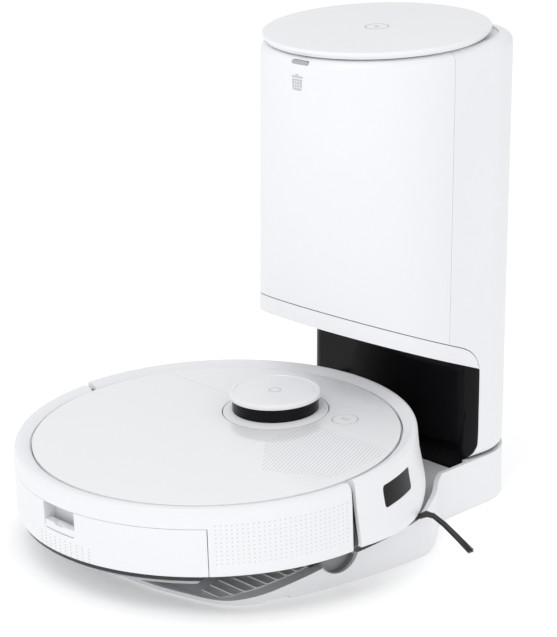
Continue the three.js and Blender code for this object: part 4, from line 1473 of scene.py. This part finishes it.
@dataclass
class DockLid:
    """The round lid on top of the tower.

    Attributes:
        radius: its radius.
        top: its top over the tower's centre.
        thickness: of the disc.
        centre: Y of the tower's round front.
        tilt: rise of the lid towards the back, in degrees.
    """

    radius: float = 100.8
    top: float = 430
    thickness: float = 3.6
    centre: float = 191
    tilt: float = 3.3

    def _placed(self, obj: bpy.types.Object) -> bpy.types.Object:
        """Tilts a piece of the lid, modelled about the origin, onto the tower.

        Args:
            obj: the piece.

        Returns:
            The piece.
        """
        Workshop.turned_about(obj, "X", self.tilt)
        return Workshop.moved(obj, (0, self.centre, self.top))

    def build(self) -> None:
        """Models and dresses the lid."""
        r, t = self.radius, self.thickness
        plate = Workshop.turned("dock_lid_plate", rounded(
            [(0, 0, 0), (r, 0, 1.1), (r, -t, 0.8), (r - 1.8, -t, 0), (r - 2.4, -t - 1.1, 0),
             (r - 2.4, -t - 2.8, 0.8),
             (88, -t - 2.8, 0), (88, -t, 0), (0, -t, 0)], 5, closed=False), steps=FINE)
        self._placed(plate)
        Workshop.combine(plate, Workshop.block("rear", (-32, 284.4, 410), (32, 300, 429.2)))
        hinge = Workshop.rod("hinge", 2.7, (-13, 288, 425.2), (13, 288, 425.2), 24)
        arm = Workshop.block("arm", (-13, 285.6, 425.2), (13, 290.4, 431.6))
        Workshop.gather(plate, [hinge, arm])
        dress(plate, "dock_lid", WHITE_BODY, ["dock_lid"], smooth=35)
        mark = Workshop.turned("lid_mark", [(9.6, -0.4), (11, -0.4), (11, 0.06), (9.6, 0.06)], steps=MEDIUM)
        Workshop.gather(mark, [Workshop.turned("dot", [(0, -0.4), (2.4, -0.4), (2.4, 0.06), (0, 0.06)],
                                               steps=COARSE)])
        self._placed(mark)
        dress(mark, "dock_lid", MARK_GREY)


# ---- robot ----------------------------------------------------------------------------
@dataclass
class RobotShell:
    """The robot's outer wall: rear wall, bumper, tank and their details.

    Attributes:
        rear: Y where the rear wall ends.
        front: Y where the bumper begins.
        radius: radius of the rear wall.
        tank_angle: half the tank's sweep in degrees.
        tank_z: heights of the tank's bottom and top.
    """

    rear: float = -8.4
    front: float = -3.2
    radius: float = 176
    tank_angle: float = 45.7
    tank_z: Pair = (18, 60)

    def _shoulder(self) -> list[Pair]:
        """Outer profile of the shoulder, from the groove to the wall.

        Returns:
            Points of radius and height.
        """
        return flowing([(161.4, 73.8), (163.4, 75.1), (166.8, 76.5), (170.4, 77.1), (173.2, 76.2),
                        (174.9, 73.2),
                        (175.6, 69), (176, 60)], 4)

    def _ring(self, name: str) -> bpy.types.Object:
        """The rear wall before it is cut.

        Args:
            name: its name.

        Returns:
            The ring.
        """
        outer = [*self._shoulder(), (176, 20), *arc((174.5, 19.5), 1.5, 0, -90, 4), (172.6, 18)]
        inner = [(172.6, 60), (171.4, 68), (168.6, 72.4), (161.4, 71.4)]
        return Workshop.turned(name, [*outer, *inner], steps=FINE * 2)

    def _tank_block(self, grow: float, low: float, high: float) -> bpy.types.Object:
        """The wedge that bounds the tank.

        Args:
            grow: how much larger it is.
            low: its bottom.
            high: its top.

        Returns:
            The wedge.
        """
        spread = math.tan(math.radians(self.tank_angle))
        outline = [(-spread * 101 - grow * 1.4, -101 + grow), (-spread * 260 - grow * 1.4, -260),
                   (spread * 260 + grow * 1.4, -260), (spread * 101 + grow * 1.4, -101 + grow)]
        return Workshop.prism("wedge", outline, low, high)

    def build(self) -> None:
        """Models and dresses the outer wall."""
        self._rear_wall()
        self._pan()
        self._bumper()
        self._stops()
        self._tank()
        self._mop()
        self._vents()

    def _rear_wall(self) -> None:
        """The fixed wall round the robot's back."""
        wall = self._ring("rear_wall")
        Workshop.combine(wall, Workshop.block("behind", (-200, -200, 0), (200, self.rear, 100)), Cut.SHARE)
        Workshop.combine(wall, self._tank_block(0.35, 10, self.tank_z[1] + 0.35))
        Workshop.bevel(wall, 0.55, 2, 50)
        Workshop.tilted(wall)
        dress(wall, "robot", WHITE_BODY, ["upper_shell"], smooth=30)

    def _pan(self) -> None:
        """The bay under the lid and the fixed deck in front of it."""
        pan = Workshop.turned("lid_bay", [(0, 63.8), (161.2, 63.8), (161.2, 72.4), (160.2, 72.4), (159, 66.8),
                                          (0, 66.8)], steps=FINE)
        for tool in (Workshop.prism("opening", rounded([(-64, -88, 8), (64, -88, 8), (64, 4, 8),
                                                        (-64, 4, 8)], 5), 0,
                                    100),
                     Workshop.turned("spindle", [(0, 0), (33, 0), (33, 100), (0, 100)], (0, 70), MEDIUM),
                     Workshop.block("tank_room", (-127, -200, 0), (127, -104, 60.5))):
            Workshop.combine(pan, tool)
        Workshop.combine(pan, Workshop.block("swing", (-158, 55, 65.4), (158, 70, 90)))
        clear = Workshop.turned("clear", [(159.3, 71), (166, 71), (166, 80), (159.3, 80)], steps=FINE)
        Workshop.combine(clear, Workshop.block("ahead", (-200, self.rear, 0), (200, 200, 100)), Cut.SHARE)
        Workshop.combine(pan, clear)
        for side in (-1, 1):
            lug = Workshop.rod("lug", 1.5, (side * 134, 62, 72.5), (side * 138, 62, 72.5), 16)
            stem = Workshop.block("stem", (min(side * 134, side * 138), 60.6, 64),
                                  (max(side * 134, side * 138), 63.4,
                                                                                   72.5))
            Workshop.gather(pan, [lug, stem])
        Workshop.tilted(pan)
        dress(pan, "robot", INNER_GREY, ["upper_shell"])
        deck = Workshop.turned("front_deck", rounded([(0, 71, 0), (159.6, 71, 0), (159.6, 75, 0.9),
                                                      (0, 75, 0)], 4,
                                                     closed=False), steps=FINE)
        Workshop.combine(deck, Workshop.block("front", (-200, 68.12, 0), (200, 200, 100)), Cut.SHARE)
        Workshop.combine(deck, Workshop.turned("turret", [(0, 60), (47.6, 60), (47.6, 90), (0, 90)],
                                               (0, 70), FINE))
        Workshop.combine(deck, Workshop.turned("button", [(0, 60), (12, 60), (12, 90), (0, 90)], (62.6, 94.5),
                                               MEDIUM))
        Workshop.bevel(deck, 0.35, 2, 50)
        Workshop.tilted(deck)
        dress(deck, "robot", WHITE_GLOSS, ["upper_shell"])

    def _bumper(self) -> None:
        """The sprung front wall."""
        outer = flowing([(161.6, 74), (164, 75.6), (167.6, 77.6), (170.6, 78.7), (172.9, 78), (174, 75),
                         (174.4, 69),
                         (175.4, 56), (177.2, 45), (179.2, 33), (180.1, 25), (179.4, 17), (177.6, 11.6),
                         (174.9, 9.2)], 4)
        inner = [(173.0, 10.6), (175.6, 17.5), (176.5, 26), (174.5, 38), (172.1, 55), (170.8, 68),
                 (168.4, 73),
                 (161.6, 71.4)]
        wall = Workshop.turned("bumper_wall", [*outer, *inner], steps=FINE * 2)
        Workshop.combine(wall, Workshop.block("ahead", (-200, self.front, 0), (200, 200, 100)), Cut.SHARE)
        hem = flowing([(-30, 23), (-3.5, 21.6), (24, 19), (56, 15.4), (90, 12), (118, 8.9), (134, 6)], 5)
        Workshop.combine(wall, Workshop.prism("hem", [*hem, (134, -20), (-30, -20)], -200, 200, Axis.X))
        Workshop.bevel(wall, 0.55, 2, 50)
        for side in (1, -1):
            Workshop.combine(wall, self._window_hole(side, 0.3))
        Workshop.tilted(wall)
        dress(wall, "bumper", WHITE_BODY, ["bumper"], smooth=30)
        for side, word in SIDES:
            pane = Workshop.turned("side_window_" + word,
                                   [(173.3, 63.4), (174.0, 63.4), (175.2, 56.2), (177.1, 45),
                                                            (177.5, 43), (174, 43)], steps=FINE * 2)
            Workshop.combine(pane, self._window_hole(side, 0), Cut.SHARE)
            Workshop.bevel(pane, 0.3, 2, 50)
            Workshop.tilted(pane)
            dress(pane, "bumper", BLACK_GLOSS, ["sensor_window_" + word])

    def _stops(self) -> None:
        """The dark buffers seen in the gaps between rear wall and bumper."""
        for side, word in SIDES:
            low, high = sorted((side * 168.5, side * 174.4))
            stop = Workshop.block("bumper_stop_" + word, (low, self.rear + 0.2, 22),
                                  (high, self.front - 1.6, 43))
            Workshop.bevel(stop, 0.5, 2)
            Workshop.tilted(stop)
            dress(stop, "robot", BLACK_PLASTIC)

    def _window_hole(self, side: int, grow: float) -> bpy.types.Object:
        """The block that bounds a side window.

        Args:
            side: 1 on the right, -1 on the left.
            grow: how much larger it is.

        Returns:
            The block.
        """
        half = 23.6 + grow
        block = Workshop.prism("hole", rounded([(-half, 43.9 - grow, 3), (half, 43.9 - grow, 3),
                                                (half, 63 + grow, 3), (-half, 63 + grow, 3)], 5), 150, 200,
                                                Axis.X)
        Workshop.turned_about(block, "Z", 17.9 if side > 0 else 162.1)
        return block

    def _tank(self) -> None:
        """The water tank at the back, with its grip and latch."""
        low, high = self.tank_z
        body = Workshop.turned("tank_shell", [(0, low), *arc((self.radius - 1.5, low + 1.5), 1.5, -90, 0, 4),
                                              (self.radius, high), (0, high)], steps=FINE * 2)
        Workshop.combine(body, self._tank_block(0, 0, 100), Cut.SHARE)
        Workshop.bevel(body, 0.55, 2, 50)
        hollow = Workshop.prism("hollow", [(-86, -108), (-86, -146), (86, -146), (86, -108)], low + 2.4,
                                high - 2.4)
        Workshop.combine(body, hollow)
        Workshop.combine(body, Workshop.turned("filler", [(0, 50), (9, 50), (9, 80), (0, 80)], (58, -128),
                                               COARSE))
        grip = Workshop.prism("grip", rounded([(-20, 36.6, 3), (20, 36.6, 3), (20, 70, 0), (-20, 70, 0)],
                                              5), -190,
                              -163, Axis.Y)
        Workshop.combine(body, grip)
        Workshop.bevel(body, 0.3, 1, 70)
        Workshop.tilted(body)
        dress(body, "water_tank", WHITE_BODY, ["water_tank"], smooth=30)
        bar = Workshop.turned("release_bar", [(150, 37.2), (self.radius - 0.5, 37.2),
                                              (self.radius - 0.5, 43.8),
                                              (150, 43.8)], steps=FINE * 2)
        Workshop.combine(bar, Workshop.block("span", (-19.6, -190, 0), (19.6, -168, 80)), Cut.SHARE)
        Workshop.bevel(bar, 0.6, 2, 50)
        slit = Workshop.prism("slit", rounded([(-5, 42.3, 0.4), (5, 42.3, 0.4), (5, 46, 0.4),
                                               (-5, 46, 0.4)], 2), -190,
                              -172, Axis.Y)
        Workshop.combine(bar, slit)
        Workshop.tilted(bar)
        dress(bar, "tank_release", WHITE_BODY, ["tank_release"])

    def _mop(self) -> None:
        """The mop plate and its cloth."""
        plate = Workshop.prism("mop_plate_body", self._mop_outline(173.4, -104, 43.5), 13.6, 17.6)
        Workshop.bevel(plate, 0.8, 2, 50)
        Workshop.tilted(plate)
        dress(plate, "water_tank", BLACK_PLASTIC, ["mop_plate"])
        pad = Workshop.prism("mop_cloth_pad", self._mop_outline(166, -107, 42.4), 7.4, 13.4)
        Workshop.bevel(pad, 2, 3, 50)
        Workshop.tilted(pad)
        dress(pad, "water_tank", MOP_CLOTH, ["mop_pad"], smooth=60)

    @staticmethod
    def _mop_outline(radius: float, front: float, sweep: float) -> list[Pair]:
        """Plan of the mop plate or cloth.

        Args:
            radius: its outer radius.
            front: Y of its straight edge.
            sweep: half its sweep in degrees.

        Returns:
            The outline.
        """
        edge = arc((0, 0), radius, -90 - sweep, -90 + sweep, 48)
        return [*edge, (edge[-1][0] - 6, front), (edge[0][0] + 6, front)]

    def _vents(self) -> None:
        """Rows of tiny grey dots on both sides and under the tank's grip: painted shade standing in for vent
        holes.
        """
        for side, word in SIDES:
            start = -4.6 if side > 0 else 180 + 4.6
            dots = self._dots("vent_" + word, start, -1.44 * side, 27, 29.6, 3.7, 10, 0.55)
            # painted shade: grey dots in place of vent holes
            dress(dots, "robot", HOLE_SHADE_GREY)
        grille = self._dots("tank_grille", -98.5, 2.2, 10, 19.8, 2.9, 5, 0.7)
        dress(grille, "water_tank", HOLE_SHADE_GREY)

    def _dots(self, name: str, start: float, step: float, columns: int, low: float, pitch: float, rows: int,
              size: float) -> bpy.types.Object:
        """A field of small grey discs laid on the wall, each painted shade standing in for a round hole.

        Args:
            name: its name.
            start: angle of the first column in degrees.
            step: degrees between columns.
            columns: how many columns.
            low: height of the lowest row.
            pitch: distance between rows.
            rows: how many rows.
            size: radius of a dot.

        Returns:
            The field.
        """
        dot = Workshop.rod(name, size, (self.radius - 0.3, 0, low), (self.radius + 0.05, 0, low), 8)
        Workshop.turned_about(dot, "Z", start)
        Workshop.rowed(dot, rows, (0, 0, pitch))
        Workshop.ringed(dot, columns, step)
        return Workshop.tilted(dot)


@dataclass
class RobotTop:
    """The robot's lid, turret and button.

    Attributes:
        lid_radius: radius of the lid.
        turret: X and Y of the turret.
        button: X and Y of the power button.
    """

    lid_radius: float = 159.6
    turret: Pair = (0, 70)
    button: Pair = (62.6, 94.5)

    def build(self) -> None:
        """Models and dresses the top."""
        self._lid()
        self._turret()
        self._button()

    def _lid(self) -> None:
        """The hinged lid with its lined panel."""
        lid = Workshop.turned("robot_lid", rounded([(0, 71.5, 0), (self.lid_radius, 71.5, 0),
                                                    (self.lid_radius, 75, 0.9),
                                                    (0, 75, 0)], 4, closed=False), steps=FINE)
        Workshop.combine(lid, Workshop.block("back", (-200, -200, 0), (200, 67.88, 100)), Cut.SHARE)
        Workshop.combine(lid, Workshop.turned("room", [(0, 60), (47.6, 60), (47.6, 90), (0, 90)],
                                              self.turret, FINE))
        for side in (-1, 1):
            Workshop.combine(lid, Workshop.block("pocket", (side * 136 - 2.6, 57, 70),
                                                 (side * 136 + 2.6, 68, 74.1)))
        Workshop.bevel(lid, 0.35, 2, 50)
        Workshop.tilted(lid)
        dress(lid, "top_lid", WHITE_GLOSS, ["top_lid"])
        panel = Workshop.prism("lid_lines", rounded([(51, 66.4, 1), (48, 13, 1), (94, -33, 1), (148, -6, 1),
                                                     (146, 60, 1), (142.5, 66.4, 1)], 3), 74.6, 75.06)
        Workshop.combine(panel, Workshop.turned("round", [(0, 70), (157, 70), (157, 80), (0, 80)], (0, 0),
                                                FINE),
                         Cut.SHARE)
        Workshop.tilted(panel)
        dress(panel, "top_lid", LINED_GLOSS)

    def _turret(self) -> None:
        """The distance sensor's tower."""
        collar = Workshop.turned("turret_ring", [(33.4, 72.7), (46.8, 72.7),
                                                 *arc((46.1, 74.8), 0.7, 0, 90, 3),
                                                 (43.2, 75.8), (40.4, 77), (33.4, 77)], self.turret, FINE)
        dress(Workshop.tilted(collar), "robot", WHITE_BODY, ["turret_collar"])
        window = Workshop.turned("turret_glass", rounded([(36.2, 77.1, 0), (38.6, 77.1, 0.3),
                                                          (38.6, 89.3, 0.3),
                                                          (36.2, 89.3, 0)], 3), self.turret, FINE)
        dress(Workshop.tilted(window), "robot", BLACK_GLOSS, ["turret_window"])
        cap = Workshop.turned("turret_top", [(0, 90.8), (35.8, 90.8), (35.8, 89.4),
                                             *arc((40.4, 90.2), 0.8, -90, 0, 4),
                                             (41.2, 91.2), *arc((38.6, 91.2), 2.5, 20, 90, 6), (36.6, 93.75),
                                             (36.1, 93.2), (35.5, 93.2), (35.0, 93.6), (0, 93.6)],
                              self.turret, FINE)
        dress(Workshop.tilted(cap), "robot", SPUN_GLOSS, ["turret_cap"])
        mark = Workshop.turned("cap_mark", [(4.6, 93.4), (5.6, 93.4), (5.6, 93.66), (4.6, 93.66)],
                               self.turret, MEDIUM)
        dress(Workshop.tilted(mark), "robot", MARK_GREY)

    def _button(self) -> None:
        """The power button with its play and pause sign."""
        button = Workshop.turned("start_button", rounded([(0, 72.2, 0), (10.9, 72.2, 0), (10.9, 75.4, 0.5),
                                                          (10.2, 75.4, 0), (0, 75.2, 0)], 3, closed=False),
                                 self.button, MEDIUM)
        dress(Workshop.tilted(button), "power_button", WHITE_GLOSS, ["power_button"])
        ring = Workshop.turned("button_ring", [(10.95, 73), (11.9, 73), (11.9, 75.05), (10.95, 75.05)],
                               self.button,
                               MEDIUM)
        dress(Workshop.tilted(ring), "robot", MARK_GREY)
        u, v = self.button
        triangle = Workshop.prism("sign", [(u - 3.4, v - 2.4), (u + 0.6, v), (u - 3.4, v + 2.4)], 75, 75.3)
        bars = [Workshop.block("bar", (u + x, v - 2.4, 75), (u + x + 0.8, v + 2.4, 75.3)) for x in (1.4, 3.0)]
        Workshop.gather(triangle, bars)
        triangle.name = "button_sign"
        dress(Workshop.tilted(triangle), "power_button", MARK_GREY)


@dataclass
class SideBrush:
    """A side brush: hub, stems, and the tuft that lies over the dock's rim.

    Attributes:
        side: 1 on the right, -1 on the left.
        word: the side's name.
    """

    side: int
    word: str

    def build(self) -> None:
        """Models and dresses the brush."""
        hub = Workshop.turned("brush_hub_" + self.word, rounded(
            [(0, 4.2, 0), (13, 4.2, 1), (13, 7.6, 1), (5.6, 9, 0), (5.6, 18, 0), (0, 18, 0)], 3,
            closed=False),
            (110, 92), COARSE)
        stem = Workshop.sweep("stem", [(112, 92, 5.9), (120, 92, 6), (136, 91, 6.4)], [2.6, 2.2, 1.6], 10)
        Workshop.ringed(stem, 3, 120, (110, 92, 0))
        Workshop.gather(hub, [stem])
        self._place(hub, DARK_RUBBER, "side_brush_")
        tuft = Workshop.sweep("tuft_" + self.word, [(134, 90.5, 7.4), (148, 91, 8.2), (155, 92.5, 11.4),
                                                    (160, 94.5, 14),
                                                    (166, 97, 13), (175, 99.2, 8.4), (186, 101, 1.2)],
                              [1.8, 2.2, 2.7, 2.9, 2.6, 2.0, 0.9], 10)
        strands = []
        for i in range(26):
            spread = (i % 13) / 12 * 2 - 1
            layer = -0.5 if i < 13 else 0.5
            wave = math.sin(i * 2.4) * 0.7
            strands.append(Workshop.sweep(f"strand_{i}", [
                (164, 97 + spread * 1.4, 13.6 + layer * 2.4), (176, 99 + spread * 1.7, 7.8 + layer * 2.4),
                (190, 101.2 + spread * 2.2 + wave * 0.3, -1.4 + layer * 2.2),
                (203.4 + wave, 103 + spread * 3 + wave * 0.6, -10.6 + layer * 1.8)],
                [0.5, 0.48, 0.42, 0.26], 5))
        Workshop.gather(tuft, strands)
        self._place(tuft, BRISTLE, "side_bristles_")

    def _place(self, obj: bpy.types.Object, finish: Finish, node: str) -> None:
        """Puts a piece on its side of the robot and dresses it.

        Args:
            obj: the piece, modelled on the right.
            finish: its finish.
            node: start of the CAD node's name.
        """
        if self.side < 0:
            Workshop.flipped(obj)
        Workshop.tilted(obj)
        dress(obj, "side_brush_" + self.word, finish, [node + self.word])


# ---- studio ---------------------------------------------------------------------------
@dataclass
class Studio:
    """Camera, lights and floor.

    Attributes:
        eye: the camera's place.
        target: where it looks.
        lens: focal length in millimetres.
        ambient: how strongly the white surroundings light the object.
    """

    eye: Triple = (1483.295, -1303.596, 811.069)
    target: Triple = (0, 73.32, 186.51)
    lens: float = 136.76
    ambient: float = 0.8

    def build(self) -> None:
        """Sets up the whole studio."""
        scene = bpy.context.scene
        scene.view_settings.view_transform = "Standard"
        world = bpy.data.worlds.new("studio")
        world.use_nodes = True
        self._sky(world.node_tree)
        scene.world = world
        self._camera()
        self._floor()
        self._lamp("key", (300, -900, 1700), (0, 100, 200), 1000, 7.5)
        self._lamp("left", (-1500, -600, 900), (0, 100, 200), 900, 1)
        self._lamp("right", (1700, -500, 500), (0, 100, 150), 900, 1.3)

    def _sky(self, tree: bpy.types.NodeTree) -> None:
        """A pure white backdrop that lights the object a little less than it shows.

        Args:
            tree: the world's tree.
        """
        shown = tree.nodes["Background"]
        shown.inputs["Color"].default_value = (1, 1, 1, 1)
        shown.inputs["Strength"].default_value = 1.0
        light = tree.nodes.new("ShaderNodeBackground")
        light.inputs["Color"].default_value = (0.985, 0.99, 1, 1)
        light.inputs["Strength"].default_value = self.ambient
        path = tree.nodes.new("ShaderNodeLightPath")
        mix = tree.nodes.new("ShaderNodeMixShader")
        tree.links.new(path.outputs["Is Camera Ray"], mix.inputs[0])
        tree.links.new(light.outputs[0], mix.inputs[1])
        tree.links.new(shown.outputs[0], mix.inputs[2])
        tree.links.new(mix.outputs[0], tree.nodes["World Output"].inputs["Surface"])

    def _camera(self) -> None:
        """Places the camera."""
        eye, target = Vector(self.eye) * MM, Vector(self.target) * MM
        bpy.ops.object.camera_add(location=eye, rotation=(target - eye).to_track_quat("-Z", "Y").to_euler())
        camera = bpy.context.object
        camera.name = "camera"
        camera.data.lens = self.lens
        camera.data.sensor_width = 36
        camera.data.sensor_fit = "AUTO"
        camera.data.clip_start = 0.05
        bpy.context.scene.camera = camera

    def _floor(self) -> None:
        """Lays the white floor."""
        bpy.ops.mesh.primitive_plane_add(size=40, location=(0, 0, -0.0002))
        floor = bpy.context.object
        floor.name = "floor"
        material = bpy.data.materials.new("floor")
        material.use_nodes = True
        tree = material.node_tree
        shader = tree.nodes["Principled BSDF"]
        noise = tree.nodes.new("ShaderNodeTexNoise")
        noise.inputs["Scale"].default_value = 3
        colour = tree.nodes.new("ShaderNodeMix")
        colour.data_type = "RGBA"
        colour.inputs["A"].default_value = (0.97, 0.97, 0.97, 1)
        colour.inputs["B"].default_value = (0.98, 0.98, 0.98, 1)
        tree.links.new(noise.outputs["Fac"], colour.inputs["Factor"])
        tree.links.new(colour.outputs["Result"], shader.inputs["Base Color"])
        shader.inputs["Roughness"].default_value = 0.9
        shader.inputs["Specular IOR Level"].default_value = 0.0
        shader.inputs["Emission Color"].default_value = (1, 1, 1, 1)
        shader.inputs["Emission Strength"].default_value = 0.22
        floor.data.materials.append(material)

    @staticmethod
    def _lamp(name: str, place: Triple, aim: Triple, size: float, power: float) -> None:
        """Adds a soft lamp.

        Args:
            name: its name.
            place: where it stands.
            aim: where it points.
            size: its width.
            power: its power in watts.
        """
        at, to = Vector(place) * MM, Vector(aim) * MM
        bpy.ops.object.light_add(type="AREA", location=at,
                                 rotation=(to - at).to_track_quat("-Z", "Y").to_euler())
        lamp = bpy.context.object
        lamp.name = name
        lamp.data.shape = "DISK"
        lamp.data.size = size * MM
        lamp.data.energy = power


def dress_kept_nodes() -> None:
    """Gives every CAD node that is still shown the material of its slot."""
    for name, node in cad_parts.items():
        if node.hide_render:
            continue
        for holder in node.material_slots:
            slot = holder.material.name.split(".")[0]
            finish = BY_SLOT.get(slot)
            if finish is None:
                log.warning("node %s has slot %s without a finish", name, slot)
                continue
            holder.material = finish.material()
        log.info("kept node %s", name)


def main() -> None:
    """Builds the whole scene."""
    logging.basicConfig(level=logging.INFO, format="%(message)s")
    Shading.build_groups()
    builders: Sequence[Callable[[], None]] = (
        DockBase().build, Tower().build, DockLid().build, RobotShell().build, RobotTop().build,
        *(SideBrush(side, word).build for side, word in SIDES))
    for build in builders:
        build()
    dress_kept_nodes()
    Studio().build()


if __name__ == "__main__":
    main()
